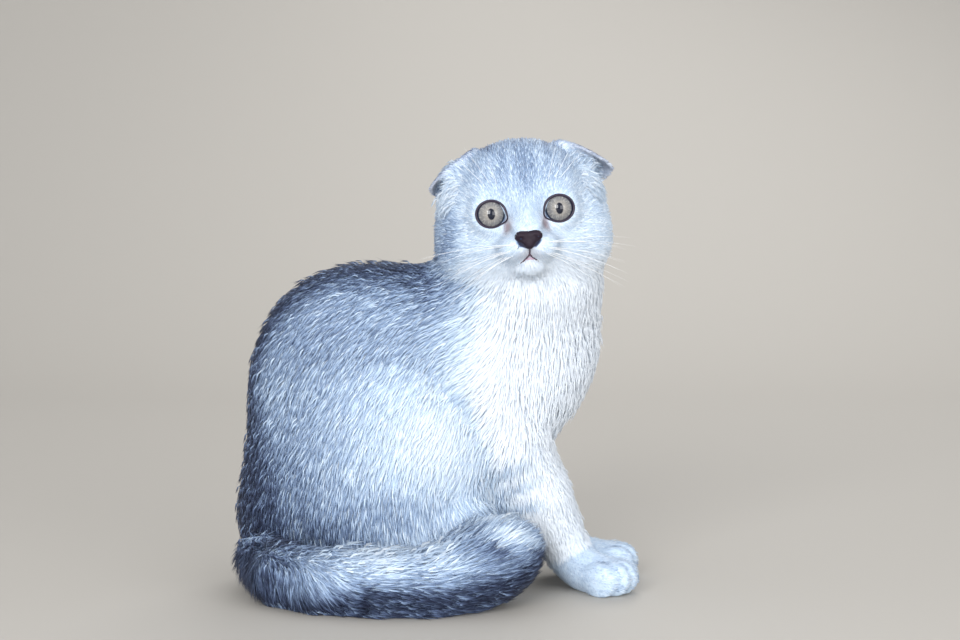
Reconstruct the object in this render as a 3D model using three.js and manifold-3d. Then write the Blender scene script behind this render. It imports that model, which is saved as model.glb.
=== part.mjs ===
// A Scottish Fold kitten, life size, sitting on the floor with its body in profile and its head
// turned to look over its right shoulder, the tail wrapped round its right side.
// Millimetres, +Z up. The body faces +X, and its right side and its face look towards -Y.
// The outlines are those of the plush coat. The whole animal is one smooth field, made into a
// closed mesh that is finer on the face and paws, and it is then parted with thin cuts.
import * as THREE from "three";
import { mergeVertices } from "three/addons/utils/BufferGeometryUtils.js";
import Module from "manifold-3d";

const wasm = await Module();
wasm.setup();

// Driving dimensions
const CUT = 0.3; // gap that two neighbouring pieces keep
const BACK_TOP = 161; // top of the back and withers over the floor
const RUMP_REACH = 98; // from the middle of the body back to the rump
const CHEST_REACH = 81; // from the middle of the body forward to the breast
const HAUNCH_HALF = 52; // half the width over the haunches
const CHEST_HALF = 35; // half the width of the chest
const HEAD_AT = [41, -12, 186]; // middle of the head
const HEAD_ROLL = 5; // degrees, the animal's left side higher
const HEAD_TURN = 2; // degrees, towards the animal's left
const HEAD_HALF = 44; // half the width over the cheeks
const EYE_APART = 32.4; // between the middles of the eyes
const EYE_AT = [EYE_APART / 2, -27, 1]; // middle of the left eye, in the head's own frame
const EYE_RADIUS = 8.8;
const CORNEA_RADIUS = 6.9;
const CORNEA_FORWARD = 3.1;
const LID = 1.6; // from the eyeball to the outside of its lids
const EYE_OPENING = [7.2, 6.4]; // half width and half height between the lids
const NOSE_AT = [0, -45.6, -12.2];
const MOUTH_DEPTH = 1.6;
const MOUTH_WIDTH = 0.9;
const EAR_THICK = 2.2;
const BEND_SAG = 0.5; // how far the mesh may leave a bend before it is made finer
const BEND_LENGTH = 3.6; // the shortest edge that is halved for that

// Fields. A field takes a point and gives its rough distance outside a shape, below 0 inside it.

const DEG = Math.PI / 180;

// Turns degrees about x, y and z into the inverse rotation, as three rows.
function unturn(turn) {
  const e = new THREE.Euler(turn[0] * DEG, turn[1] * DEG, turn[2] * DEG, "ZYX");
  const m = new THREE.Matrix4().makeRotationFromEuler(e).transpose().elements;
  return [m[0], m[4], m[8], m[1], m[5], m[9], m[2], m[6], m[10]];
}

function ellipsoid(centre, radii, turn = [0, 0, 0]) {
  const [cx, cy, cz] = centre;
  const [rx, ry, rz] = radii;
  const r = unturn(turn);
  return (x, y, z) => {
    const dx = x - cx;
    const dy = y - cy;
    const dz = z - cz;
    const u = (r[0] * dx + r[1] * dy + r[2] * dz) / rx;
    const v = (r[3] * dx + r[4] * dy + r[5] * dz) / ry;
    const w = (r[6] * dx + r[7] * dy + r[8] * dz) / rz;
    const k = Math.hypot(u, v, w);
    const g = Math.hypot(u / rx, v / ry, w / rz);
    return g < 1e-9 ? -Math.min(rx, ry, rz) : (k * (k - 1)) / g;
  };
}

// A limb: a line from a to b, as thick as ra at a and rb at b.
function limb(a, b, ra, rb) {
  const ab = [b[0] - a[0], b[1] - a[1], b[2] - a[2]];
  const length2 = ab[0] ** 2 + ab[1] ** 2 + ab[2] ** 2;
  return (x, y, z) => {
    const dx = x - a[0];
    const dy = y - a[1];
    const dz = z - a[2];
    const along = (dx * ab[0] + dy * ab[1] + dz * ab[2]) / length2;
    const t = Math.min(1, Math.max(0, along));
    const d = Math.hypot(dx - t * ab[0], dy - t * ab[1], dz - t * ab[2]);
    return d - (ra + (rb - ra) * t);
  };
}

function soften(a, b, k) {
  const h = Math.max(k - Math.abs(a - b), 0) / k;
  return Math.min(a, b) - (h * h * k) / 4;
}

// Shapes that flow into one another over the distance k.
function flow(k, ...shapes) {
  return (x, y, z) => {
    let d = shapes[0](x, y, z);
    for (let i = 1; i < shapes.length; i++) d = soften(d, shapes[i](x, y, z), k);
    return d;
  };
}

// A shape with another hollowed out of it, softly over the distance k.
function hollow(k, shape, tool) {
  return (x, y, z) => -soften(-shape(x, y, z), tool(x, y, z), k);
}

// A field written in a frame of its own, set in another by a THREE.Matrix4.
function placed(shape, matrix) {
  const m = matrix.clone().invert().elements;
  return (x, y, z) =>
    shape(
      m[0] * x + m[4] * y + m[8] * z + m[12],
      m[1] * x + m[5] * y + m[9] * z + m[13],
      m[2] * x + m[6] * y + m[10] * z + m[14],
    );
}

// Meshes. A mesh here is { points: [x, y, z, ...], faces: [a, b, c, ...] }.

// The surface of a field inside a box, on a grid of cubic cells.
function skinOf(field, low, high, cell) {
  const n = [0, 1, 2].map((i) => Math.ceil((high[i] - low[i]) / cell) + 1);
  const at = (i, j, k) => i + n[0] * (j + n[1] * k);
  const value = new Float64Array(n[0] * n[1] * n[2]);
  for (let k = 0; k < n[2]; k++)
    for (let j = 0; j < n[1]; j++)
      for (let i = 0; i < n[0]; i++) {
        const edge = i * j * k === 0 || i === n[0] - 1 || j === n[1] - 1 || k === n[2] - 1;
        const v = field(low[0] + i * cell, low[1] + j * cell, low[2] + k * cell);
        value[at(i, j, k)] = edge ? Math.max(v, 0.01 * cell) : v;
      }
  const points = [];
  const faces = [];
  const made = new Int32Array(value.length).fill(-1);
  for (let k = 0; k < n[2] - 1; k++)
    for (let j = 0; j < n[1] - 1; j++)
      for (let i = 0; i < n[0] - 1; i++) {
        const sum = [0, 0, 0];
        let count = 0;
        for (let axis = 0; axis < 3; axis++)
          for (let side = 0; side < 4; side++) {
            const a = [i, j, k];
            a[(axis + 1) % 3] += side & 1;
            a[(axis + 2) % 3] += side >> 1;
            const b = [...a];
            b[axis] += 1;
            const va = value[at(...a)];
            const vb = value[at(...b)];
            if (va < 0 === vb < 0) continue;
            a[axis] += va / (va - vb);
            for (let c = 0; c < 3; c++) sum[c] += a[c];
            count++;
          }
        if (!count) continue;
        made[at(i, j, k)] = points.length / 3;
        for (let c = 0; c < 3; c++) points.push(low[c] + (sum[c] / count) * cell);
      }
  for (let k = 1; k < n[2] - 1; k++)
    for (let j = 1; j < n[1] - 1; j++)
      for (let i = 1; i < n[0] - 1; i++)
        for (let axis = 0; axis < 3; axis++) {
          const b = [i, j, k];
          b[axis] += 1;
          const inside = value[at(i, j, k)] < 0;
          if (inside === value[at(...b)] < 0) continue;
          const ring = [[0, 0], [1, 0], [1, 1], [0, 1]].map(([u, v]) => {
            const c = [i, j, k];
            c[(axis + 1) % 3] -= u;
            c[(axis + 2) % 3] -= v;
            return made[at(...c)];
          });
          if (inside) ring.reverse();
          faces.push(ring[0], ring[2], ring[1], ring[0], ring[3], ring[2]);
        }
  return { points, faces };
}

// Moves a point on to the surface of a field.
function settle(field, p, steps = 2) {
  const e = 0.05;
  for (let s = 0; s < steps; s++) {
    const f = field(p[0], p[1], p[2]);
    const gx = (field(p[0] + e, p[1], p[2]) - f) / e;
    const gy = (field(p[0], p[1] + e, p[2]) - f) / e;
    const gz = (field(p[0], p[1], p[2] + e) - f) / e;
    const g2 = Math.max(gx * gx + gy * gy + gz * gz, 0.2);
    p[0] -= (f * gx) / g2;
    p[1] -= (f * gy) / g2;
    p[2] -= (f * gz) / g2;
  }
  return p;
}

const pointOf = (mesh, i) => mesh.points.slice(3 * i, 3 * i + 3);
const between = (p, q) => Math.hypot(p[0] - q[0], p[1] - q[1], p[2] - q[2]);
const middle = (p, q) => [0, 1, 2].map((c) => (p[c] + q[c]) / 2);

// Halves every edge that is longer than the wanted size there, or that spans a bend.
function split(mesh, field, size) {
  const halves = new Map();
  const half = (a, b) => {
    const key = a < b ? a * 1e7 + b : b * 1e7 + a;
    if (!halves.has(key)) {
      const p = pointOf(mesh, a);
      const q = pointOf(mesh, b);
      const on = settle(field, middle(p, q));
      const length = between(p, q);
      const bent = length > BEND_LENGTH && between(on, middle(p, q)) > BEND_SAG;
      const long = bent || length > 1.4 * size(...on);
      halves.set(key, long ? mesh.points.length / 3 : -1);
      if (long) mesh.points.push(...on);
    }
    return halves.get(key);
  };
  const faces = [];
  for (let f = 0; f < mesh.faces.length; f += 3) {
    let [a, b, c] = mesh.faces.slice(f, f + 3);
    let [ab, bc, ca] = [half(a, b), half(b, c), half(c, a)];
    const cuts = (ab >= 0) + (bc >= 0) + (ca >= 0);
    if (cuts === 0) faces.push(a, b, c);
    if (cuts === 3) faces.push(a, ab, ca, ab, b, bc, ca, bc, c, ab, bc, ca);
    if (cuts === 1) {
      while (ab < 0) [a, b, c, ab, bc, ca] = [b, c, a, bc, ca, ab];
      faces.push(a, ab, c, ab, b, c);
    }
    if (cuts === 2) {
      while (ca >= 0) [a, b, c, ab, bc, ca] = [b, c, a, bc, ca, ab];
      faces.push(ab, b, bc);
      const across = between(pointOf(mesh, a), pointOf(mesh, bc));
      if (across < between(pointOf(mesh, ab), pointOf(mesh, c))) faces.push(a, ab, bc, a, bc, c);
      else faces.push(a, ab, c, ab, bc, c);
    }
  }
  mesh.faces = faces;
}

// Turns each edge that has blunt angles on both sides, so that thin triangles go.
function swap(mesh) {
  const owner = new Map();
  const faces = mesh.faces;
  const key = (a, b) => a * 1e7 + b;
  for (let f = 0; f < faces.length; f += 3)
    for (let e = 0; e < 3; e++) owner.set(key(faces[f + e], faces[f + ((e + 1) % 3)]), f);
  const corner = (p, q, r) => {
    const u = new THREE.Vector3(q[0] - p[0], q[1] - p[1], q[2] - p[2]);
    return u.angleTo(new THREE.Vector3(r[0] - p[0], r[1] - p[1], r[2] - p[2]));
  };
  const done = new Set();
  for (let f = 0; f < faces.length; f += 3)
    for (let e = 0; e < 3; e++) {
      const [a, b, c] = [faces[f + e], faces[f + ((e + 1) % 3)], faces[f + ((e + 2) % 3)]];
      const g = owner.get(key(b, a));
      if (g === undefined || done.has(f) || done.has(g)) continue;
      const d = faces.slice(g, g + 3).find((v) => v !== a && v !== b);
      if (owner.has(key(c, d)) || owner.has(key(d, c))) continue;
      const [pa, pb, pc, pd] = [a, b, c, d].map((v) => pointOf(mesh, v));
      if (corner(pc, pa, pb) + corner(pd, pa, pb) < 1.08 * Math.PI) continue;
      faces.splice(f, 3, a, d, c);
      faces.splice(g, 3, d, b, c);
      owner.set(key(c, d), g);
      owner.set(key(d, c), f);
      done.add(f);
      done.add(g);
    }
}

function facing(p, q, r) {
  const u = new THREE.Vector3(q[0] - p[0], q[1] - p[1], q[2] - p[2]);
  return u.cross(new THREE.Vector3(r[0] - p[0], r[1] - p[1], r[2] - p[2])).normalize();
}

// Closes up the edges that are much shorter than the wanted size there, where the surface is
// nearly flat.
function merge(mesh, field, size) {
  const { points, faces } = mesh;
  const around = Array.from({ length: points.length / 3 }, () => []);
  for (let f = 0; f < faces.length; f++) around[faces[f]].push(f - (f % 3));
  const kept = new Uint8Array(around.length);
  const dropped = new Set();
  const corners = (f) => faces.slice(f, f + 3);
  for (let f = 0; f < faces.length; f += 3)
    for (let e = 0; e < 3; e++) {
      const [a, b] = [faces[f + e], faces[f + ((e + 1) % 3)]];
      if (a > b || kept[a] || kept[b]) continue;
      const [p, q] = [pointOf(mesh, a), pointOf(mesh, b)];
      const m = middle(p, q);
      if (between(p, q) > 0.62 * size(...m)) continue;
      const nearA = new Set(around[a].flatMap(corners));
      const nearB = new Set(around[b].flatMap(corners));
      if ([...nearA].filter((v) => nearB.has(v)).length !== 4) continue;
      settle(field, m);
      const staying = new Set([...around[a], ...around[b]].filter((g) => {
        const c = corners(g);
        return !(c.includes(a) && c.includes(b));
      }));
      const flat = [...staying].every((g) => {
        const now = corners(g).map((v) => pointOf(mesh, v));
        const then = corners(g).map((v) => (v === a || v === b ? m : pointOf(mesh, v)));
        return facing(...now).dot(facing(...then)) > 0.94;
      });
      if (!flat) continue;
      for (let c = 0; c < 3; c++) points[3 * a + c] = m[c];
      for (const g of around[b])
        if (staying.has(g)) faces[faces.indexOf(b, g)] = a;
        else dropped.add(g);
      for (const v of [...nearA, ...nearB]) kept[v] = 1;
    }
  const number = new Map();
  const next = { points: [], faces: [] };
  for (let f = 0; f < faces.length; f += 3) {
    if (dropped.has(f)) continue;
    for (const v of corners(f)) {
      if (!number.has(v)) {
        number.set(v, next.points.length / 3);
        next.points.push(...pointOf(mesh, v));
      }
      next.faces.push(number.get(v));
    }
  }
  mesh.points = next.points;
  mesh.faces = next.faces;
}

// Evens out the points along the surface.
function relax(mesh, field) {
  const count = mesh.points.length / 3;
  const sum = new Float64Array(3 * count);
  const near = new Float64Array(count);
  for (let f = 0; f < mesh.faces.length; f += 3)
    for (let e = 0; e < 3; e++) {
      const a = mesh.faces[f + e];
      const b = mesh.faces[f + ((e + 1) % 3)];
      for (let c = 0; c < 3; c++) sum[3 * a + c] += mesh.points[3 * b + c];
      near[a]++;
    }
  for (let i = 0; i < count; i++) {
    const p = [0, 1, 2].map((c) => 0.5 * mesh.points[3 * i + c] + (0.5 * sum[3 * i + c]) / near[i]);
    settle(field, p).forEach((v, c) => (mesh.points[3 * i + c] = v));
  }
}

// A closed mesh of a field whose edges are about as long as size(x, y, z) says.
function mould(field, low, high, cell, size, rounds = 6) {
  const mesh = skinOf(field, low, high, cell);
  for (let r = 0; r < rounds; r++) {
    relax(mesh, field);
    split(mesh, field, size);
    swap(mesh);
    merge(mesh, field, size);
    swap(mesh);
  }
  for (let r = 0; r < 3; r++) {
    relax(mesh, field);
    swap(mesh);
  }
  return solid(mesh.points, mesh.faces);
}

// Solids

const solid = (points, faces) =>
  new wasm.Manifold(
    new wasm.Mesh({
      numProp: 3,
      vertProperties: new Float32Array(points),
      triVerts: new Uint32Array(faces),
    }),
  );

// A three.js geometry, turned and moved, as a solid.
function solidOf(geometry, matrix = new THREE.Matrix4()) {
  const bare = new THREE.BufferGeometry();
  const flat = geometry.index ? geometry.toNonIndexed() : geometry;
  bare.setAttribute("position", flat.getAttribute("position").clone());
  const merged = mergeVertices(bare.applyMatrix4(matrix), 1e-4);
  return solid(merged.attributes.position.array, merged.index.array);
}

function largest(made) {
  return made.decompose().sort((a, b) => b.volume() - a.volume())[0];
}

// The same solid with its points rounded as a mesh stores them, and any loose scrap left out.
function tidied(made) {
  const { vertProperties, triVerts } = made.getMesh();
  const g = new THREE.BufferGeometry();
  g.setAttribute("position", new THREE.BufferAttribute(new Float32Array(vertProperties), 3));
  g.setIndex(new THREE.BufferAttribute(new Uint32Array(triVerts), 1));
  return largest(solidOf(g));
}

const setAt = (x, y, z, turn = [0, 0, 0]) =>
  new THREE.Matrix4().compose(
    new THREE.Vector3(x, y, z),
    new THREE.Quaternion().setFromEuler(
      new THREE.Euler(turn[0] * DEG, turn[1] * DEG, turn[2] * DEG, "ZYX"),
    ),
    new THREE.Vector3(1, 1, 1),
  );

const acrossBody = ([x, y, z]) => [x, -y, z];

const block = (size, at) => solidOf(new THREE.BoxGeometry(...size), at);

const orb = (centre, radii, turn, around = 32, down = 20) =>
  solidOf(
    new THREE.SphereGeometry(1, around, down),
    setAt(...centre, turn).scale(new THREE.Vector3(...radii)),
  );

// A solid made larger all round by moving its points outwards.
function grown(made, by) {
  const { vertProperties, triVerts } = made.getMesh();
  const g = new THREE.BufferGeometry();
  g.setAttribute("position", new THREE.BufferAttribute(new Float32Array(vertProperties), 3));
  g.setIndex(new THREE.BufferAttribute(new Uint32Array(triVerts), 1));
  g.computeVertexNormals();
  const normal = g.attributes.normal.array;
  return solid(Array.from(vertProperties, (v, i) => v + by * normal[i]), triVerts);
}

// Torso: rump, loins, thorax, breast and belly

const torso = flow(
  14,
  ellipsoid([RUMP_REACH * -0.53, 0, 50], [RUMP_REACH * 0.47, 42, 53]),
  ellipsoid([-37, 0, 95], [RUMP_REACH - 40, 41, BACK_TOP - 95], [0, -6, 0]),
  ellipsoid([-2, 0, 112], [44, CHEST_HALF + 1, BACK_TOP - 113]),
  ellipsoid([CHEST_REACH - 41, 0, 122], [41, CHEST_HALF - 1, 42]),
  ellipsoid([40, 0, 98], [27, CHEST_HALF - 4, 28]),
  ellipsoid([4, 0, 62], [38, 32, 36]),
  ellipsoid([-71, 6, 30], [29, 30, 30]),
);

// Neck: rises from the withers and breast under the head, wide with its ruff

const neck = flow(
  14,
  limb([26, 0, 134], [41, -8, 166], 35, 32),
  ellipsoid([46, -5, 152], [35, 34, 25]),
);

// Hind legs: thigh, folded shank and long foot, made for the right side and mirrored

const THIGH_AT = [-24, -27, 61];
const THIGH_RADII = [51, HAUNCH_HALF - 27, 59];
const THIGH_LEAN = 5;
const KNEE = [13, -34, 33];
const HOCK = [-42, -37, 14];
const HIND_TOES = [30, -39, 7.5];

function hindLeg(s) {
  const thigh = ellipsoid(s(THIGH_AT), THIGH_RADII, [0, THIGH_LEAN, 0]);
  const shank = limb(s(KNEE), s(HOCK), 18, 12);
  const heel = s([HOCK[0], HOCK[1], 9.5]);
  const foot = limb(heel, s([HIND_TOES[0] - 8, HIND_TOES[1], 8.4]), 10.5, 9);
  const toes = [-1.5, -0.5, 0.5, 1.5].map((step) =>
    ellipsoid(
      s([HIND_TOES[0] - 1.3 * step * step, HIND_TOES[1] + 5.2 * step, HIND_TOES[2]]),
      [8.5, 3.8, 7.6],
    ),
  );
  return { thigh, lower: flow(6, shank, flow(3, foot, flow(1.6, ...toes))) };
}

const hindRight = hindLeg((p) => p);
const hindLeft = hindLeg(acrossBody);

// Forelegs: upper arm, forearm, wrist and paw

const FORE = {
  right: { shoulder: [22, -18, 108], elbow: [35, -18, 75], wrist: [64, -11, 19], aim: -40 },
  left: { shoulder: [22, 18, 108], elbow: [36, 16, 75], wrist: [62, 16, 18], aim: 3 },
};
const PAW_LENGTH = 31; // from the wrist to the middle of the toes

function foreleg({ shoulder, elbow, wrist, aim }) {
  const upper = limb(shoulder, elbow, 24, 18);
  const half = middle(elbow, wrist);
  const above = [half[0] - 13, half[1], half[2] + 14];
  const below = [half[0] - 6, half[1], half[2] - 14];
  const fringe = limb(above, below, 14, 11);
  const forearm = flow(3, limb(elbow, half, 17.6, 16.4), limb(half, wrist, 16.4, 12), fringe);
  const toes = [-1.5, -0.5, 0.5, 1.5].map((step) =>
    ellipsoid(
      [PAW_LENGTH - 1.7 * step * step, 6.5 * step, 8.4 - 0.4 * Math.abs(step)],
      [9.8, 4.6, 8.9],
    ),
  );
  const palm = ellipsoid([PAW_LENGTH - 16, 0, 9], [20, 12.2, 10.4], [0, 8, 0]);
  const dewclaw = ellipsoid([6, -9 * Math.sign(wrist[1]), 11], [4.5, 3, 4]);
  const foot = flow(3, flow(3, palm, flow(1, ...toes)), dewclaw);
  const paw = placed(foot, setAt(wrist[0], wrist[1], 0, [0, 0, aim]));
  return flow(6, flow(9, upper, forearm), paw);
}

// Head, in a frame of its own: x to the animal's left, y backwards, z up

const HEAD = setAt(...HEAD_AT, [0, -HEAD_ROLL, HEAD_TURN]);
const bothSides = (make) => [make(1), make(-1)];

const skull = flow(
  10,
  ellipsoid([0, 6, 6], [HEAD_HALF - 7, 36, 30]),
  ellipsoid([0, -13, 8], [28, 23, 26]),
  ...bothSides((s) => ellipsoid([s * 20, -2, -7], [HEAD_HALF - 21, 26, 23], [0, s * 8, s * 8])),
  ...bothSides((s) => ellipsoid([s * 19, -3, -19], [22, 22, 16])),
  ellipsoid([0, -14, -18], [26, 22, 15]),
);
const earRoot = bothSides((s) => ellipsoid([s * 27, 1, 16], [14, 17, 13], [0, s * 32, 0]));
const nosebridge = limb([0, -27, 6], [0, -39.5, -8.5], 10.5, 6.4);
const muzzle = flow(
  5,
  ellipsoid([0, -32, -14.5], [13, 11, 9]),
  ...bothSides((s) => ellipsoid([s * 6.2, -37.4, -15.6], [8, 6.4, 5.4], [0, s * 14, 0])),
);
const chin = ellipsoid([0, -33.4, -23.6], [8.6, 7, 5.4]);
const brows = bothSides((s) => ellipsoid([s * 15, -23, 11], [11, 10.5, 7], [0, s * -12, 0]));
const lidBalls = bothSides((s) =>
  ellipsoid([s * EYE_AT[0], EYE_AT[1], EYE_AT[2]], Array(3).fill(EYE_RADIUS + LID)),
);
const eyeDips = bothSides((s) => ellipsoid([s * 10, -41, -3], [3.6, 4, 4.5], [0, s * 30, 0]));

// The mouth line: down from the nose, then out and down to each corner.
const MOUTH_APEX = -19.2;
const MOUTH_CORNER = [8, -24.6];

function mouthLine(x, z) {
  const u = Math.abs(x);
  const drop = Math.min(Math.max(z, MOUTH_APEX), NOSE_AT[2] - 4);
  const dx = MOUTH_CORNER[0];
  const dz = MOUTH_CORNER[1] - MOUTH_APEX;
  const t = Math.min(1, Math.max(0, (u * dx + (z - MOUTH_APEX) * dz) / (dx * dx + dz * dz)));
  const bow = Math.sin(Math.PI * t);
  const lip = Math.hypot(u - t * dx, z - MOUTH_APEX - t * dz + bow);
  return Math.min(Math.hypot(u, z - drop), lip);
}

const face = flow(
  4,
  flow(6, skull, ...earRoot),
  flow(5, nosebridge, ...brows),
  flow(2.4, muzzle, chin),
);
const cups = bothSides((s) => ellipsoid([s * 41, -8, 14], [5.5, 8, 4.4], [0, s * 35, 0]));
const withCups = hollow(3, face, (x, y, z) => Math.min(cups[0](x, y, z), cups[1](x, y, z)));
const lidded = flow(3.4, withCups, ...lidBalls);
const dipped = hollow(3, lidded, (x, y, z) => Math.min(eyeDips[0](x, y, z), eyeDips[1](x, y, z)));

function headShape(x, y, z) {
  const d = dipped(x, y, z);
  if (y > -22 || Math.abs(x) > 14 || z > -10) return d;
  return d + MOUTH_DEPTH * Math.exp(-((mouthLine(x, z) / MOUTH_WIDTH) ** 2));
}

// The animal without its tail and ears

const trunk = flow(12, torso, neck);
const withThighs = flow(4, trunk, hindRight.thigh, hindLeft.thigh);
const withHind = flow(3.5, withThighs, hindRight.lower, hindLeft.lower);
const breastFur = limb([36, 0, 70], [53, 1, 38], 13, 7);
const bellyFur = ellipsoid([24, 0, 50], [15, 26, 24]);
const trunkFur = flow(6, withHind, breastFur, bellyFur);
const withLegs = flow(6, trunkFur, foreleg(FORE.right), foreleg(FORE.left));
const animal = flow(6, withLegs, placed(headShape, HEAD));

// How long the mesh's edges are: coarse on the back, fine round the eyes, mouth and toes.

const TO_HEAD = HEAD.clone().invert();

function edgeLength(x, y, z) {
  if (z < 17 && x > 71) return 3.4;
  if (z < 28 && x > 50) return 5.6;
  if (z < 15 && x > 14) return 4.6;
  if (z < 150 || x < -5) return 10.6;
  const p = new THREE.Vector3(x, y, z).applyMatrix4(TO_HEAD);
  const across = Math.abs(p.x);
  if (p.y < -22 && across < 13 && p.z < -9 && p.z > -30)
    return mouthLine(p.x, p.z) < 1.8 ? 0.95 : 2.6;
  if (p.y < -16 && Math.hypot(across - EYE_AT[0], p.z - EYE_AT[2]) < 11) return 2.5;
  if (p.y < -20 && across < 30 && p.z > -30) return 3.6;
  if (p.y < 12 && across > 26 && p.z > 6) return 4.2;
  return p.y > 4 ? 9 : 6;
}

const whole = mould(animal, [-113, -67, -15], [112, 66, 236], 6, edgeLength);
const clear = grown(whole, CUT);

const parts = {};

// Nose: the bare leather, with its two nostrils

const noseShape = hollow(
  0.5,
  flow(
    1,
    limb([-3.8, 0.6, 2], [3.8, 0.6, 2], 2.1, 2.1),
    ...bothSides((s) => limb([s * 3, 0.5, 1.4], [0, 0.7, -2.6], 2.5, 1.9)),
    ...bothSides((s) => ellipsoid([s * 4.5, 1.4, 1.5], [2.2, 2.7, 2.2])),
  ),
  flow(0.6, ...bothSides((s) => ellipsoid([s * 4, -2.1, 0.3], [1.6, 2, 0.95], [0, s * 30, 0]))),
);
const NOSE = HEAD.clone().multiply(setAt(...NOSE_AT));
const noseMiddle = new THREE.Vector3().setFromMatrixPosition(NOSE);
const boxRound = (p, by) => [p.toArray().map((v) => v - by), p.toArray().map((v) => v + by)];
const nose = mould(placed(noseShape, NOSE), ...boxRound(noseMiddle, 9), 1, () => 1.4, 4);
parts.nose = nose;

// Eyes: ball and cornea in a socket, seen through an almond opening with its corner at the nose

function eye(s) {
  const at = HEAD.clone().multiply(setAt(s * EYE_AT[0], EYE_AT[1], EYE_AT[2]));
  const centre = new THREE.Vector3().setFromMatrixPosition(at);
  const shape = flow(
    0.8,
    ellipsoid([0, 0, 0], Array(3).fill(EYE_RADIUS)),
    ellipsoid([0, -CORNEA_FORWARD, 0], Array(3).fill(CORNEA_RADIUS)),
  );
  const front = (x, y) => (y < centre.y - 1 ? 2.3 : 5);
  const ball = mould(placed(shape, at), ...boxRound(centre, 13), 3, front, 3);
  const socket = orb(centre.toArray(), Array(3).fill(EYE_RADIUS + 1.6 * CUT), [0, 0, 0], 18, 12);
  const corner = Math.PI + 0.42;
  const rim = Array.from({ length: 30 }, (_, i) => {
    const a = (i / 30) * 2 * Math.PI;
    const tear = 2.6 * Math.exp(-(((a - corner) / 0.34) ** 2));
    const r = 1 / Math.hypot(Math.cos(a) / EYE_OPENING[0], Math.sin(a) / EYE_OPENING[1]) + tear;
    return new THREE.Vector2(s * r * Math.cos(a), r * Math.sin(a));
  });
  const depth = 20;
  const opening = new THREE.ExtrudeGeometry(new THREE.Shape(rim), { depth, bevelEnabled: false });
  return { ball, hole: socket.add(solidOf(opening, at.multiply(setAt(0, 0, 0, [90, 0, 0])))) };
}

const [eyeLeft, eyeRight] = bothSides(eye);
parts.eye_left = eyeLeft.ball;
parts.eye_right = eyeRight.ball;

// Ears: each a thin shell that rises behind and folds forward over its cup, tip out and down

const EAR_BASE = [[18, -4, 33], [25, 7, 31], [33, 12, 25], [38, 9, 18], [38, 2, 11]];
const EAR_RIM = [[18.5, -7, 33], [28, -12, 29.4], [37, -13, 24.4], [45.6, -9, 17.2], [40.5, -2, 11.6]];
const EAR_ARCH = 1; // height of the fold
const EAR_STEPS = [12, 5];

const EAR_GIVE = [0, 0.7, 0.9, 1, 0.4]; // how far each point of its curves goes along

function ear(s, rise, spread) {
  const moved = (p, i) =>
    new THREE.Vector3(...p).addScaledVector(new THREE.Vector3(spread, 0, rise), EAR_GIVE[i]);
  const base = new THREE.CatmullRomCurve3(EAR_BASE.map(moved));
  const rim = new THREE.CatmullRomCurve3(EAR_RIM.map(moved));
  const [nu, nv] = EAR_STEPS;
  const middleOf = (u, v) => {
    const p = base.getPoint(u).lerp(rim.getPoint(u), v);
    const arch = EAR_ARCH * Math.sin(Math.PI * Math.min(1, v ** 0.8)) * Math.sin(Math.PI * u) ** 0.6;
    return p.add(new THREE.Vector3(0.5, 0, 0.87).multiplyScalar(arch));
  };
  const sheet = (u, v, side) => {
    const e = 0.01;
    const du = middleOf(Math.min(u + e, 1), v).sub(middleOf(Math.max(u - e, 0), v));
    const dv = middleOf(u, Math.min(v + e, 1)).sub(middleOf(u, Math.max(v - e, 0)));
    const thick = EAR_THICK * (1 - 0.5 * v) * (0.4 + 0.6 * Math.sin(Math.PI * u) ** 0.5);
    return middleOf(u, v).addScaledVector(du.cross(dv).normalize(), (side * thick) / 2);
  };
  const points = [];
  for (const side of [1, -1])
    for (let j = 0; j <= nv; j++)
      for (let i = 0; i <= nu; i++) {
        const p = sheet(i / nu, j / nv, side);
        points.push(...new THREE.Vector3(s * p.x, p.y, p.z).applyMatrix4(HEAD).toArray());
      }
  const at = (i, j, side) => i + j * (nu + 1) + (side > 0 ? 0 : (nu + 1) * (nv + 1));
  const faces = [];
  const quad = (a, b, c, d) => faces.push(a, b, c, a, c, d);
  for (let j = 0; j < nv; j++)
    for (let i = 0; i < nu; i++) {
      quad(at(i, j, 1), at(i + 1, j, 1), at(i + 1, j + 1, 1), at(i, j + 1, 1));
      quad(at(i, j + 1, -1), at(i + 1, j + 1, -1), at(i + 1, j, -1), at(i, j, -1));
    }
  for (let i = 0; i < nu; i++) {
    quad(at(i, 0, -1), at(i + 1, 0, -1), at(i + 1, 0, 1), at(i, 0, 1));
    quad(at(i, nv, 1), at(i + 1, nv, 1), at(i + 1, nv, -1), at(i, nv, -1));
  }
  for (let j = 0; j < nv; j++) {
    quad(at(0, j, 1), at(0, j + 1, 1), at(0, j + 1, -1), at(0, j, -1));
    quad(at(nu, j, -1), at(nu, j + 1, -1), at(nu, j + 1, 1), at(nu, j, 1));
  }
  if (s < 0) faces.reverse();
  return largest(solid(points, faces).subtract(clear));
}

parts.ear_left = ear(1, 0.6, 0.4);
parts.ear_right = ear(-1, -1.8, -1.8);

// Tail: out from under the rump, round the right haunch and forward, ending in a bushy tip

const TAIL_LINE = [
  [-73, 15, 21, 14], [-83, -4, 16.5, 15], [-83.5, -26, 15, 15.5], [-76, -51, 14.6, 15.2],
  [-56, -68, 14.4, 15], [-28, -75, 14.4, 15], [-2, -73, 14.6, 15.8], [14, -67, 18, 18],
  [26, -59, 22.6, 19.6], [34, -53, 25, 17.5],
];

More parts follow.
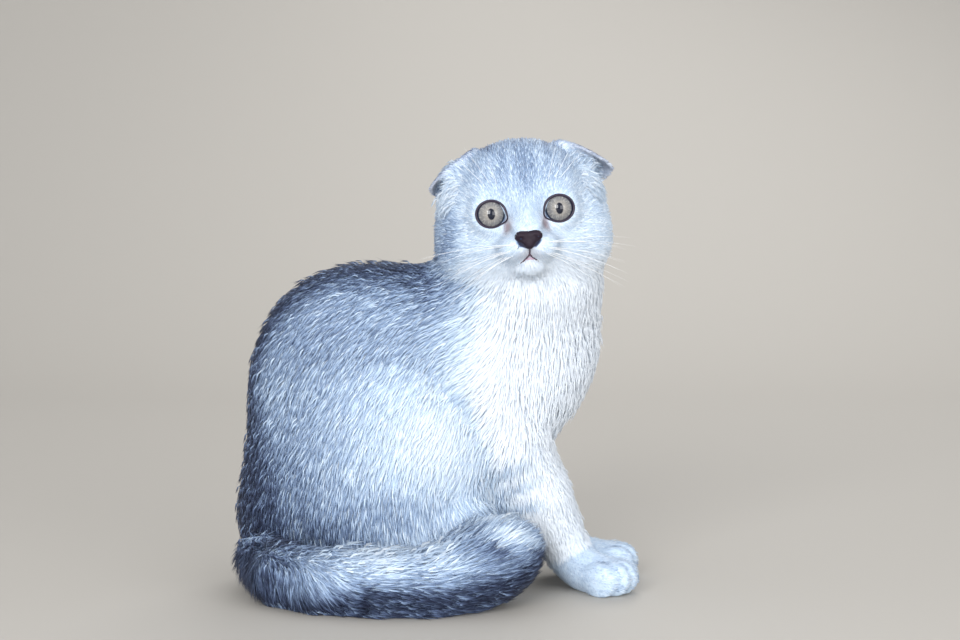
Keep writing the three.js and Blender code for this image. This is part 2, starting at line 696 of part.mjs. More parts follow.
const tailShape = flow(
  3,
  ...TAIL_LINE.slice(1).map((to, i) => {
    const from = TAIL_LINE[i];
    return limb(from.slice(0, 3), to.slice(0, 3), from[3], to[3]);
  }),
);
const tailAll = mould(tailShape, [-112, -104, -14], [78, 50, 58], 6, () => 9.1, 4);
const floor = block([400, 400, 100], setAt(0, 0, -50));
let tail = largest(tailAll.subtract(clear).subtract(floor));

const TAIL_CUTS = [3, 6.3]; // along TAIL_LINE, in points of it
const TAIL_NAMES = ["tail_root", "tail_middle", "tail_tip"];
const tailPoints = TAIL_LINE.map(([x, y, z]) => new THREE.Vector3(x, y, z));
const tailCurve = new THREE.CatmullRomCurve3(tailPoints);
for (const place of TAIL_CUTS) {
  const u = place / (TAIL_LINE.length - 1);
  const at = tailCurve.getPoint(u);
  const way = tailCurve.getTangent(u);
  const heading = Math.atan2(way.y, way.x) / DEG;
  tail = tail.subtract(block([CUT, 56, 80], setAt(at.x, at.y, at.z, [0, 0, heading])));
}
const alongTail = (piece) => {
  const { min, max } = piece.boundingBox();
  const at = new THREE.Vector3((min[0] + max[0]) / 2, (min[1] + max[1]) / 2, 15);
  const near = tailPoints.map((point) => at.distanceTo(point));
  return near.indexOf(Math.min(...near));
};
const lengths = tail.decompose().sort((a, b) => b.volume() - a.volume()).slice(0, 3);
lengths.sort((a, b) => alongTail(a) - alongTail(b));
lengths.forEach((piece, i) => (parts[TAIL_NAMES[i]] = piece));

// Parting of the body. Each cutting shape takes a size to add all round it.

let rest = largest(whole.subtract(floor));

function take(shape) {
  const piece = largest(rest.intersect(shape(-CUT / 2)));
  rest = rest.subtract(shape(CUT / 2));
  return piece;
}

const slab = (size, at) => (add) => block(size.map((v) => v + 2 * add), at);

for (const [side, s] of [["right", -1], ["left", 1]]) {
  parts[`hind_foot_${side}`] = take(slab([100, 40, 30], setAt(-9, s * 38, 0.6)));
  const hindLeg = (add) => {
    const flank = orb(
      [THIGH_AT[0], s * 27, THIGH_AT[2]],
      THIGH_RADII.map((v) => v + 2.5 + add),
      [0, THIGH_LEAN, 0],
      28,
      16,
    );
    const lower = block([86 + 2 * add, 60, 32 + 2 * add], setAt(-14, s * 40, 25.5, [0, -8, 0]));
    return flank.add(lower).subtract(block([300, 34 - 2 * add, 300], setAt(0, 0, 100)));
  };
  parts[`hind_leg_${side}`] = take(hindLeg);
  const { elbow, wrist } = FORE[side];
  const lean = Math.atan2(wrist[0] - elbow[0], elbow[2] - wrist[2]) / DEG;
  const arm = setAt(...wrist, [0, -lean, 0]);
  const slice = (long, reach, x, z) => {
    const width = s * wrist[1] + reach;
    const y = s * (width / 2 + CUT / 3) - wrist[1];
    return take(slab([long, width, 50], arm.clone().multiply(setAt(x, y, z))));
  };
  parts[`forepaw_${side}`] = slice(64, 38, 12, -26);
  parts[`foreleg_${side}`] = slice(46, 25, 0, 24.3);
}

const HEAD_PLANE = setAt(43, -6, 161, [12, 0, 0]);
const headBlock = slab([130, 150, 100], HEAD_PLANE.clone().multiply(setAt(0, 0, 50)));
const headPiece = take(headBlock);
parts.head = largest(
  headPiece.subtract(eyeLeft.hole).subtract(eyeRight.hole).subtract(grown(nose, CUT)),
);
const NECK_PLANE = setAt(40, 0, 150, [0, 20, 0]);
parts.neck = take(slab([110, 150, 100], NECK_PLANE.clone().multiply(setAt(0, 0, 50))));
const LOINS = -22; // where the body is parted behind the ribs
parts.torso_rear = take(slab([120, 200, 340], setAt(LOINS - 60, 0, 100)));
parts.torso_front = largest(rest);

const COLOURS = { nose: 0x33202e, eye: 0x8f948c, ear: 0x9aa6ba, tail: 0x9fabc0 };

const group = new THREE.Group();
for (const [name, made] of Object.entries(parts)) {
  const { vertProperties, triVerts } = tidied(made).getMesh();
  const geometry = new THREE.BufferGeometry();
  geometry.setAttribute("position", new THREE.BufferAttribute(new Float32Array(vertProperties), 3));
  geometry.setIndex(new THREE.BufferAttribute(new Uint32Array(triVerts), 1));
  const color = COLOURS[name.split("_")[0]] ?? 0xdfe8f2;
  const material = new THREE.MeshStandardMaterial({ color, roughness: 0.9, metalness: 0 });
  const mesh = new THREE.Mesh(geometry, material);
  mesh.name = name;
  group.add(mesh);
}

// The origin is on the floor, in the middle of the animal's length and width.
const extent = new THREE.Box3().setFromObject(group);
const centre = extent.getCenter(new THREE.Vector3());
group.position.set(-centre.x, -centre.y, -extent.min.z);

export default group;
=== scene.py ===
import math

import bmesh
import bpy
import numpy as np
from mathutils import Euler, Matrix, Vector
from mathutils.bvhtree import BVHTree


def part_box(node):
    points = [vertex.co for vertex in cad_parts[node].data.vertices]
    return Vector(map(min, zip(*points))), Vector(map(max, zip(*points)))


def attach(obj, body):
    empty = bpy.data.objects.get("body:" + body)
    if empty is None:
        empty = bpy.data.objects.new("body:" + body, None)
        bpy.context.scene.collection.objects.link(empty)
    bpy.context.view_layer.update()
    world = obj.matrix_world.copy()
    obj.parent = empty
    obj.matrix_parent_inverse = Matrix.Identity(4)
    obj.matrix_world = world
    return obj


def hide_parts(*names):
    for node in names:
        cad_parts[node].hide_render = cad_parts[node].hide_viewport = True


# The camera stands 0.9 m from the kitten, at the height of its eyes, and looks down a little.
CAMERA_PLACE = (0.02037, -0.8808, 0.190)
CAMERA_DOWN = 3.66
CAMERA_LENS = 67.5
CAMERA_FILM = 36.0
lens = bpy.data.cameras.new("camera")
lens.lens = CAMERA_LENS
lens.sensor_width = CAMERA_FILM
camera = bpy.data.objects.new("camera", lens)
bpy.context.scene.collection.objects.link(camera)
camera.location = CAMERA_PLACE
camera.rotation_euler = (math.radians(90 - CAMERA_DOWN), 0, 0)
bpy.context.scene.camera = camera

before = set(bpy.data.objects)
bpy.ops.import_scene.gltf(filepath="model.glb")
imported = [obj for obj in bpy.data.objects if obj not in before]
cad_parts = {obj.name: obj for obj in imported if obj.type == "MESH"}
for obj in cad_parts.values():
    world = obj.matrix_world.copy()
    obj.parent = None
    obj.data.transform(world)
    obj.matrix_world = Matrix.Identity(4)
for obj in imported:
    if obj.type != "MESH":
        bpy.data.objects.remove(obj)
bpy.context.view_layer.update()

# The head's own frame has x to the animal's left, y backwards and z up, in millimetres.
# The two eyes say where it is, and with it where the animal's own millimetres start.
MM = 0.001
HEAD_AT = Vector((41, -12, 186))
HEAD_TURN = Euler((0, math.radians(-5), math.radians(2))).to_matrix()
EYE_AT = Vector((16.2, -27, 1))
EYE_RADIUS = 8.8
eye_boxes = [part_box("eye_left"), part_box("eye_right")]
eye_middles = [
    Vector(((low.x + high.x) / 2, high.y - EYE_RADIUS * MM, (low.z + high.z) / 2))
    for low, high in eye_boxes
]
between_eyes = (eye_middles[0] + eye_middles[1]) / 2 / MM
head_place = between_eyes - HEAD_TURN @ Vector((0, EYE_AT.y, EYE_AT.z))
SHIFT = head_place - HEAD_AT
HEAD = Matrix.Translation(head_place * MM) @ HEAD_TURN.to_4x4() @ Matrix.Scale(MM, 4)


# The skin is the flesh without its coat, in one piece. The modelled solids reach to the tips of
# the coat, so copies of them are welded, smoothed and drawn in by the depth of the coat there.
# The tail is drawn in apart from the body and then set back into the rump.
def table_of(data, key, width=3, kind=float):
    values = np.empty(len(data) * width, kind)
    data.foreach_get(key, values)
    return values.reshape(-1, width)


def points_of(mesh):
    return table_of(mesh.vertices, "co")


def normals_of(mesh):
    return table_of(mesh.vertex_normals, "vector")


def move_points(mesh, points):
    mesh.vertices.foreach_set("co", points.ravel())
    mesh.update()


def own_millimetres(points):
    return points / MM - np.array(SHIFT)


def in_head(points):
    turn = np.array(HEAD_TURN)
    return (points / MM - np.array(head_place)) @ turn


class Spreader:
    """Averages values over neighbouring points of a mesh."""

    def __init__(self, mesh):
        self.count = len(mesh.vertices)
        self.a, self.b = table_of(mesh.edges, "vertices", 2, int).T
        both = np.concatenate([self.a, self.b])
        self.near = np.maximum(np.bincount(both, minlength=self.count), 1)

    def once(self, values):
        columns = values.reshape(self.count, -1)
        out = np.empty_like(columns)
        for c in range(columns.shape[1]):
            v = columns[:, c]
            total = np.bincount(self.a, v[self.b], self.count)
            total += np.bincount(self.b, v[self.a], self.count)
            out[:, c] = total / self.near
        return out.reshape(values.shape)

    def __call__(self, values, rounds):
        for _ in range(rounds):
            values = 0.5 * values + 0.5 * self.once(values)
        return values


def evened(points, spread, rounds, steps, freedom):
    """Takes small bumps out of points, with no loss of size: a step in, then a step out."""
    for _ in range(rounds):
        for step in steps:
            points = points + step * freedom * (spread.once(points) - points)
    return points


def mesh_from(bm, name):
    mesh = bpy.data.meshes.new(name)
    bm.to_mesh(mesh)
    bm.free()
    return mesh


def piece(name, mesh):
    made = bpy.data.objects.new(name, mesh)
    bpy.context.scene.collection.objects.link(made)
    return made


def welded(names, swell):
    bm = bmesh.new()
    for name in names:
        one = bmesh.new()
        one.from_mesh(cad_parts[name].data)
        bmesh.ops.remove_doubles(one, verts=one.verts, dist=0.01 * MM)
        one.normal_update()
        by = EAR_SWELL if name.startswith("ear") else swell
        for v in one.verts:
            v.co += v.normal * by * MM
        mesh = mesh_from(one, "part")
        bm.from_mesh(mesh)
        bpy.data.meshes.remove(mesh)
    return mesh_from(bm, "welded")


def evaluated(made):
    graph = bpy.context.evaluated_depsgraph_get()
    return bpy.data.meshes.new_from_object(made.evaluated_get(graph))


def remeshed(mesh, voxel):
    made = piece("remesh", mesh)
    modifier = made.modifiers.new("remesh", "REMESH")
    modifier.mode = "VOXEL"
    modifier.voxel_size = voxel * MM
    result = evaluated(made)
    bpy.data.objects.remove(made)
    bpy.data.meshes.remove(mesh)
    return result


def smoothstep(low, high, x):
    t = np.clip((x - low) / (high - low), 0, 1)
    return t * t * (3 - 2 * t)


def spot(where, at, radii):
    d = (where - np.array(at)) / np.array(radii)
    return np.exp(-np.sum(d * d, axis=1))


# The solids are swelled a little before they are welded, which closes the thin cuts between them.
SWELL = 0.2
EAR_SWELL = 0.45
VOXEL = 1.1
ZONES = ["head", "ear", "neck", "torso", "foreleg", "forepaw", "hind_leg", "hind_foot", "tail"]
HEAD_Z, EAR_Z, NECK_Z, TORSO_Z, ARM_Z, PAW_Z, THIGH_Z, FOOT_Z, TAIL_Z = range(len(ZONES))
zone_of = {
    name: next((i for i, z in enumerate(ZONES) if name.startswith(z)), 0)
    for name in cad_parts
}
corners = []
triangles = []
zone_of_triangle = []
for name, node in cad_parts.items():
    first = len(corners)
    corners.extend(v.co.copy() for v in node.data.vertices)
    node.data.calc_loop_triangles()
    for t in node.data.loop_triangles:
        triangles.append([first + i for i in t.vertices])
        zone_of_triangle.append(zone_of[name])
solids_tree = BVHTree.FromPolygons(corners, triangles, all_triangles=True)


# The zones whose coat keeps a sharp border: ears, forepaws and hind feet.
SHARP = [EAR_Z, PAW_Z, FOOT_Z]


def zones_at(mesh, spread):
    """How much each point of a mesh belongs to each zone, fading over the borders."""
    share = np.zeros((len(mesh.vertices), len(ZONES)))
    for i, v in enumerate(mesh.vertices):
        found = solids_tree.find_nearest(v.co)
        share[i, zone_of_triangle[found[2]]] = 1
    share = spread(share, 10)
    sharp = share[:, SHARP]
    soft = spread(share, 60)
    soft[:, SHARP] = 0
    left = 1 - sharp.sum(1)
    soft = soft * (left / np.maximum(soft.sum(1), 1e-6))[:, None]
    soft[:, SHARP] = sharp
    return soft


# Depth, length and width of the coat by zone in millimetres. On the head they grow with the
# distance from the nose.
COAT = {
    "ear": (0.3, 1.9, 0.32),
    "neck": (2.1, 9.0, 0.5),
    "torso": (2.7, 10.0, 0.47),
    "foreleg": (1.6, 6.5, 0.44),
    "forepaw": (0.6, 2.3, 0.32),
    "hind_leg": (2.5, 9.5, 0.47),
    "hind_foot": (0.9, 4.0, 0.42),
    "tail": (4.2, 14.0, 0.56),
}
HEAD_STEPS = [0, 12, 25, 40, 55, 75]
HEAD_COAT = {
    "depth": [0.4, 0.5, 0.65, 1.1, 1.7, 2.3],
    "length": [1.6, 2.4, 3.6, 5.5, 7.5, 9.0],
    "width": [0.26, 0.28, 0.32, 0.38, 0.44, 0.48],
}
NOSE_AT = np.array([0, -45.6, -12.2])
MOUTH_APEX = -19.2
MOUTH_CORNER = (8.0, -24.6)
EYE_BARE = 14.0
CHIN_AT = [0, -41, -28]
CHIN_REACH = [9, 9, 5]


def coat_at(points, share):
    head = in_head(points)
    from_nose = np.linalg.norm(head - NOSE_AT, axis=1)
    folded = np.stack([np.abs(head[:, 0]), head[:, 1], head[:, 2]], 1)
    from_eye = np.linalg.norm(folded - [EYE_AT.x, EYE_AT.y - 6, EYE_AT.z], axis=1)
    near_eye = 1 - smoothstep(8.5, EYE_BARE, from_eye)
    jaw = smoothstep(-23, -32, head[:, 2]) * smoothstep(10, 20, from_nose)
    chin = spot(folded, CHIN_AT, CHIN_REACH)
    values = []
    for column, key in enumerate(["depth", "length", "width"]):
        on_head = np.interp(from_nose, HEAD_STEPS, HEAD_COAT[key])
        on_head = on_head * (1 - near_eye) + HEAD_COAT[key][1] * near_eye
        on_head = on_head + (HEAD_COAT[key][4] - on_head) * jaw
        on_head = on_head + (HEAD_COAT[key][3] - on_head) * chin
        value = share[:, HEAD_Z] * on_head
        for i, zone in enumerate(ZONES[1:], 1):
            value = value + share[:, i] * COAT[zone][column]
        values.append(value)
    return values


def drawn_in(mesh, steps=3, root=None):
    """Draws a mesh in by the depth of its coat, but not where it rests on the floor."""
    spread = Spreader(mesh)
    share = zones_at(mesh, spread)
    for step in range(steps):
        points = points_of(mesh)
        depth = coat_at(points, share)[0]
        normals = normals_of(mesh)
        resting = 1 - smoothstep(1.0 * MM, 4.0 * MM, points[:, 2])
        resting = resting * smoothstep(0.3, 0.8, -normals[:, 2])
        depth = depth * (1 - resting)
        offset = -normals * (depth / steps)[:, None] * MM
        if root is not None:
            pull = root(points)
            inward = ROOT_WAY * ROOT_DEEP
            offset = offset * (1 - pull)[:, None] + pull[:, None] * inward * MM / steps
        offset = spread(offset, 4)
        move_points(mesh, points + offset)
    return mesh


flesh = [n for n in sorted(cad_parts) if not n.startswith(("eye", "nose"))]
of_tail = [n for n in flesh if n.startswith("tail")]
of_body = [n for n in flesh if n not in of_tail] + ["eye_left", "eye_right", "nose"]


FACET_ROUNDS = 30
FACET_STEPS = (0.6, -0.62)


def without_facets(mesh):
    """Takes out the facets of the solids, with little change to the face, ears and paws."""
    spread = Spreader(mesh)
    share = zones_at(mesh, spread)
    points = points_of(mesh)
    head = in_head(points)
    fine = share[:, HEAD_Z] * (1 - smoothstep(20, 60, np.linalg.norm(head - NOSE_AT, axis=1)))
    fine = fine + share[:, EAR_Z] + 0.7 * share[:, PAW_Z] + 0.5 * share[:, FOOT_Z]
    fine = np.clip(fine, 0, 1)
    freedom = (1 - 0.93 * fine) * smoothstep(0.2 * MM, 1.5 * MM, points[:, 2])
    move_points(mesh, evened(points, spread, FACET_ROUNDS, FACET_STEPS, freedom[:, None]))
    return mesh


body_mesh = without_facets(remeshed(welded(of_body, SWELL), VOXEL))
envelope_points = [Vector(p) for p in points_of(body_mesh)]
envelope_faces = [list(f.vertices) for f in body_mesh.polygons]
body_mesh = drawn_in(body_mesh)

ROOT_FROM = Vector((-83, -4, 16.5))
ROOT_TO = Vector((-72, 16, 22))
ROOT_DEEP = 16
ROOT_WAY = np.array((ROOT_TO - ROOT_FROM).normalized())


def tail_root_pull(points):
    own = own_millimetres(points)
    along = (own - np.array(ROOT_FROM)) @ ROOT_WAY
    return smoothstep(4, ROOT_DEEP, along) * (own[:, 0] < -40)


tail_mesh = without_facets(remeshed(welded(of_tail, SWELL), VOXEL))
first = len(envelope_points)
envelope_points.extend(Vector(p) for p in points_of(tail_mesh))
envelope_faces.extend([first + i for i in f.vertices] for f in tail_mesh.polygons)
envelope = BVHTree.FromPolygons(envelope_points, envelope_faces)
tail_mesh = drawn_in(tail_mesh, root=tail_root_pull)
joined = bmesh.new()
joined.from_mesh(body_mesh)
joined.from_mesh(tail_mesh)
skin_mesh = remeshed(mesh_from(joined, "both"), VOXEL)
skin_spread = Spreader(skin_mesh)
points = points_of(skin_mesh)
loose = smoothstep(0.3 * MM, 2 * MM, points[:, 2])[:, None]
points = evened(points, skin_spread, 3, (0.5, -0.52), loose)

# The skin is parted in front of each eye by the almond opening between the lids, and lies on the
# eyeball round it.
EYE_OPENING = (7.1, 6.35)
TEAR_REACH = 1.1
TEAR_AT = math.pi + 0.42
TEAR_WIDE = 0.3
LID_BALL = 9.9
LID_EDGE_BALL = 7.6


def opening_reach(a):
    tear = TEAR_REACH * np.exp(-(((a - TEAR_AT) / TEAR_WIDE) ** 2))
    return 1 / np.hypot(np.cos(a) / EYE_OPENING[0], np.sin(a) / EYE_OPENING[1]) + tear


def from_opening(head):
    """Distance from the middle of the nearer eye's opening, 1 at its edge."""
    x = np.abs(head[:, 0]) - EYE_AT.x
    z = head[:, 2] - EYE_AT.z
    a = np.mod(np.arctan2(z, x), 2 * math.pi)
    ratio = np.hypot(x, z) / opening_reach(a)
    return np.where(head[:, 1] < EYE_AT.y, ratio, 9)


head = in_head(points)
ratio = from_opening(head)
level = np.ones(len(head))
middle = np.stack([np.sign(head[:, 0]) * EYE_AT.x, level * EYE_AT.y, level * EYE_AT.z], 1)
from_ball = np.linalg.norm(head - middle, axis=1)
most_ball = LID_EDGE_BALL + (LID_BALL - LID_EDGE_BALL) * smoothstep(0.95, 1.12, ratio)
most_ball = most_ball + 14 * np.maximum(ratio - 1.25, 0)
kept = np.minimum(from_ball, most_ball) / np.maximum(from_ball, 1e-6)
kept = np.where(ratio < 3, kept, 1)
head = middle + (head - middle) * kept[:, None]
points = (head @ np.array(HEAD_TURN).T + np.array(head_place)) * MM
points[:, 2] = np.maximum(points[:, 2], 0.1 * MM)
move_points(skin_mesh, points)
skin_mesh.polygons.foreach_set("use_smooth", [True] * len(skin_mesh.polygons))
skin = piece("skin", skin_mesh)

# The lie of the coat, its sizes and its markings with their painted shade, kept on the skin's points,
# from which each tuft takes them at its root.
normals = normals_of(skin_mesh)
share = zones_at(skin_mesh, skin_spread)
own = own_millimetres(points)
head = in_head(points)
depth, length, width = coat_at(points, share)
folded = np.stack([np.abs(head[:, 0]), head[:, 1], head[:, 2]], 1)

TAIL_LINE = np.array([
    [-73, 15, 21], [-83, -4, 16.5], [-83.5, -26, 15], [-76, -51, 14.6], [-56, -68, 14.4],
    [-28, -75, 14.4], [-2, -73, 14.6], [14, -67, 18], [26, -59, 22.6], [38, -51, 27],
])


def along_tail(own):
    """The place along the tail, in points of its line, and the way the tail runs there."""
    best = np.full(len(own), 1e9)
    place = np.zeros(len(own))
    way = np.zeros((len(own), 3))
    for i in range(len(TAIL_LINE) - 1):
        a = TAIL_LINE[i]
        step = TAIL_LINE[i + 1] - a
        t = np.clip((own - a) @ step / (step @ step), 0, 1)
        d = np.linalg.norm(own - a - t[:, None] * step, axis=1)
        nearer = d < best
        best[nearer] = d[nearer]
        place[nearer] = (i + t)[nearer]
        way[nearer] = step / np.linalg.norm(step)
    return place, way


tail_place, tail_way = along_tail(own)


def unit(v):
    return v / np.maximum(np.linalg.norm(v, axis=1), 1e-9)[:, None]


def to_world(v):
    return v @ np.array(HEAD_TURN).T


def blended(first, second, share):
    return np.array(first) * (1 - share) + np.array(second) * share


from_nose = head - NOSE_AT - [0, 4, 2]
far = np.linalg.norm(from_nose, axis=1)
behind = smoothstep(45, 80, far)[:, None]
head_lie = to_world(blended(unit(from_nose), [0, 0.5, -1], behind))
centre = np.array([8, 0, 52])
away = own - centre
round_body = unit(np.stack([-away[:, 2], 0 * away[:, 0], away[:, 0]], axis=1))
torso_lie = round_body + [0, 0, -0.75]
front = smoothstep(10, 45, own[:, 0])[:, None]
neck_lie = blended([-0.6, 0, -1], [0.05, 0, -1], front)
torso_lie = blended(torso_lie, [-0.1, 0, -1], front)
paw_front = smoothstep(22, 8, own[:, 2])[:, None]
paw_lie = blended([0.25, 0, -1], [1, 0, -0.25], paw_front)
foot_lie = np.tile([1.0, 0, -0.1], (len(own), 1))
thigh_lie = torso_lie * 0.6 + np.array([-0.2, 0, -0.7])
low_leg = smoothstep(45, 15, own[:, 2])[:, None]
thigh_lie = blended(thigh_lie, [0.7, 0, -0.7], low_leg)
arm_lie = np.tile([0.25, 0, -1.0], (len(own), 1))
ear_out = head * [1, 0.5, 0.6] - np.array([0, 2, 14])
ear_lie = to_world(unit(ear_out))
at_root = smoothstep(-36, -66, own[:, 0])[:, None]
tail_lie = blended(tail_way, [0.55, -0.1, -0.85], at_root)
lies = [head_lie, ear_lie, neck_lie, torso_lie, arm_lie, paw_lie, thigh_lie, foot_lie, tail_lie]
lie = sum(share[:, i : i + 1] * unit(v) for i, v in enumerate(lies))
from_eye = head - middle
beside_eye = share[:, HEAD_Z] * smoothstep(2.3, 1.25, from_opening(head))
lie = lie + 1.6 * beside_eye[:, None] * to_world(unit(from_eye * [1, 0.2, 1]))
lie = skin_spread(lie, 10)
lie = lie - normals * np.sum(lie * normals, axis=1)[:, None]
lie = unit(skin_spread(unit(lie), 4))

# The tips are let down where the form bends away under them, so that the coat keeps its outline.
reach = points + (lie * length[:, None] + normals * depth[:, None]) * 0.9 * MM
over = np.empty(len(points))
for i, at in enumerate(reach):
    near, outward, _, gap = envelope.find_nearest(Vector(at))
    over[i] = gap / MM * (1 if (Vector(at) - near).dot(outward) > 0 else -1)
over = skin_spread(over, 6)
depth = depth - np.clip(over - 0.5, -0.35 * depth, 0.85 * depth)


# Markings, with some painted shade: how dark the tips are, from 0, white, to 1, slate. Places are
# in the animal's own millimetres; the two flanks are alike, so y counts from the midline.
def streak(where, a, b, wide):
    a = np.array(a, float)
    b = np.array(b, float)
    t = np.clip((where - a) @ (b - a) / ((b - a) @ (b - a)), 0, 1)
    d = np.linalg.norm(where - a - t[:, None] * (b - a), axis=1)
    return np.exp(-((d / wide) ** 2)) * np.sin(math.pi * (0.12 + 0.8 * t))


FOREHEAD_LINES = [
    ((-7.3, 31), (-8.8, 14), 1.7, 0.26), ((12.8, 32), (12.0, 22), 1.6, 0.22),
    ((-13.8, 35), (-14.5, 27), 3.0, 0.4), ((16, 35), (15, 28), 3.0, 0.34),
    ((-2.5, 36), (0.4, 8), 1.5, 0.2), ((2.5, 37), (1.4, 8), 1.5, 0.2),
    ((7.0, 36), (2.6, 8), 1.5, 0.18), ((-21, 29), (-19, 18), 1.6, 0.12),
    ((21, 30), (20, 18), 1.6, 0.1),
]
CHEEK_LINES = [((-31, 2), (-36, -20), 4.4, 0.32), ((30, 3), (36, -7), 2.5, 0.06)]
LINE_STRENGTH = 0.75

# The back is slate along the spine and silver down the flanks; the breast is white.
SPINE_SHADE = 0.97
flat = own * [1, 0, 1]
off_middle = np.abs(own[:, 1])
low_down = smoothstep(110, 55, own[:, 2])
shade_torso = 0.44 - 0.44 * smoothstep(-10, 30, own[:, 0] - 0.15 * (own[:, 2] - 100))
# The dark patch at the nape behind the cheek is dark fur and partly painted shadow cast by the head.
shade_torso += 0.5 * spot(flat, [2, 0, 158], [17, 1, 14]) * (own[:, 0] < 22)
shade_torso += 0.1 * spot(flat, [-56, 0, 128], [26, 1, 22])
shade_torso -= 0.08 * spot(flat, [-4, 0, 80], [30, 1, 26])
spine = 1 - smoothstep(7 + 6 * low_down, 25 + 17 * low_down, off_middle)
spine = spine * smoothstep(-0.1, 0.5, normals[:, 2] - 1.2 * normals[:, 0])
shade_torso = shade_torso + (SPINE_SHADE - shade_torso) * spine * smoothstep(40, 15, own[:, 0])
# Dark lines along the creases between flank, thigh and foreleg: painted shade in the folds.
CREASE_SHADE_LINES = [
    ([-28, 0, 121], [-6, 0, 109], 2.4, 0.26), ([-10, 0, 111], [18, 0, 96], 2.8, 0.5),
    ([14, 0, 99], [27, 0, 60], 3.0, 0.46),
]
for upper_end, lower_end, wide, dark in CREASE_SHADE_LINES:
    shade_torso += dark * streak(flat, upper_end, lower_end, wide)

# The thigh is palest in its middle, and the foreleg has three faint bars.
low_rump = spot(flat, [-76, 0, 44], [20, 1, 34])
shade_torso += 0.26 * low_rump
shade_thigh = 0.37 - 0.28 * spot(flat, [2, 0, 80], [34, 1, 32])
shade_thigh += 0.1 * smoothstep(-30, -70, own[:, 0]) + 0.2 * low_rump
shade_thigh += 0.16 * spot(flat, [-24, 0, 48], [18, 1, 9])
shade_thigh += 0.24 * spot(flat, [-50, 0, 35], [20, 1, 11])
bars = [([25, 0, 60], [47, 0, 71]), ([26, 0, 50], [49, 0, 60]), ([29, 0, 41], [51, 0, 48])]
barred = sum(0.32 * streak(flat, a, b, 2.2) for a, b in bars)
shade_torso += barred
# The spot on the foreleg is painted shadow in the gap between thigh, foreleg and tail.
shade_arm = barred + 0.75 * spot(flat, [26, 0, 38], [8, 1, 10])

# The face is palest round the mouth; the brow, the crown and the back of the head are greyer.
over_brow = smoothstep(2, 26, head[:, 2])
to_right = smoothstep(6, -30, head[:, 0])
shade_head = 0.19 + 0.11 * over_brow + 0.04 * to_right
# Painted shade: the middle of the face, which faces the lamps most, is made greyer.
shade_head += 0.14 * spot(head, [0, -34, 12], [26, 24, 16])
shade_head += 0.17 * smoothstep(26, 36, head[:, 2])
shade_head += 0.2 * smoothstep(-27, -42, head[:, 0]) * smoothstep(-28, -12, head[:, 2])
shade_head -= 0.13 * smoothstep(-16, -27, head[:, 2])
behind_head = smoothstep(0, 30, head[:, 1])
shade_head += 0.34 * behind_head * smoothstep(-30, 10, head[:, 2])
# The dark patch at the nape behind the cheek is dark fur and partly painted shadow cast by the head.
shade_head += 0.7 * spot(flat, [-6, 0, 155], [8, 1, 11])
for lines in (FOREHEAD_LINES, CHEEK_LINES):
    for (x, z), (x_low, z_low), wide, dark in lines:
        line = streak(head * [1, 0, 1], [x, 0, z], [x_low, 0, z_low], wide)
        shade_head += LINE_STRENGTH * dark * line * (head[:, 1] < 10)
nape = smoothstep(24, 4, own[:, 0])
shade_neck = 0.85 * nape + 0.1 * (1 - smoothstep(0, 26, off_middle)) * nape
shade_neck += 0.3 * (1 - nape) * behind_head * smoothstep(-70, -26, head[:, 2])
head_normal = normals @ np.array(HEAD_TURN)
ear_top = smoothstep(-0.6, 0.0, head_normal[:, 2] + 0.5 * head_normal[:, 1])
ear_edge = smoothstep(0.2, 0.75, head_normal[:, 2] + 0.7 * head_normal[:, 1])
ear_edge = ear_edge * smoothstep(26, 34, head[:, 0])
shade_ear = np.where(head[:, 0] < 0, 0.12 + 0.48 * ear_top, 0.28 + 0.5 * ear_edge)

# The tail has soft rings, a streaked tip and a slate underside.
BANDS_AT = [0, 2.8, 3.1, 3.6, 4.2, 4.55, 4.9, 5.15, 5.4, 5.8, 6.1, 6.4, 7.1, 7.8, 8.3, 9]
BANDS = [0.95, 0.95, 0.85, 0.6, 0.4, 0.28, 0.2, 0.26, 0.4, 0.26, 0.28, 0.42, 0.66, 0.34, 0.44, 0.6]
shade_tail = np.interp(tail_place, BANDS_AT, BANDS)
beside_tail = own[:, 0] * 0.55 - own[:, 1] * 0.83
around_tail = np.arctan2(own[:, 2] - 18, beside_tail - 50)
streaks = 0.2 * np.sin(11 * around_tail + 1.5 * tail_place)
shade_tail = shade_tail + streaks * smoothstep(6.4, 7.6, tail_place)
top_of_tip = smoothstep(24, 36, own[:, 2]) * smoothstep(6.4, 7.2, tail_place)
shade_tail = shade_tail * (1 - 0.4 * top_of_tip)
low_side = 0.8 * smoothstep(24, 8, own[:, 2]) * (1 - 0.5 * smoothstep(8, 9, tail_place))
under = smoothstep(0.15, -0.5, normals[:, 2]) + low_side
shade_tail = shade_tail + (0.95 - shade_tail) * np.clip(under, 0, 1)

# In hollows, as between the toes, the coat is shorter, and on the paws the hollows get painted shade.
hollow = np.sum((skin_spread(points, 4) - points) * normals, axis=1) / MM
length = length * (1 - 0.45 * smoothstep(0.02, 0.14, skin_spread(hollow, 6)))
shade_paw = 0.28 + 0.6 * smoothstep(0.01, 0.12, hollow)
shades = [
    shade_head, shade_ear, shade_neck, shade_torso, shade_arm, shade_paw, shade_thigh,
    shade_paw, shade_tail,
]
shade = sum(share[:, i] * s for i, s in enumerate(shades))
shade = np.clip(skin_spread(shade, 1), 0, 1)

# Under the nose leather the skin is painted as dark as the leather, as painted shade where it shows
# inside the nostrils.
NOSTRIL_PAINTED_SHADE = 1.3
on_nose = np.linalg.norm((folded - [0, NOSE_AT[1], NOSE_AT[2] - 0.3]) / [7.4, 9, 5.0], axis=1)
shade = np.maximum(shade, NOSTRIL_PAINTED_SHADE * smoothstep(0.84, 0.74, on_nose))

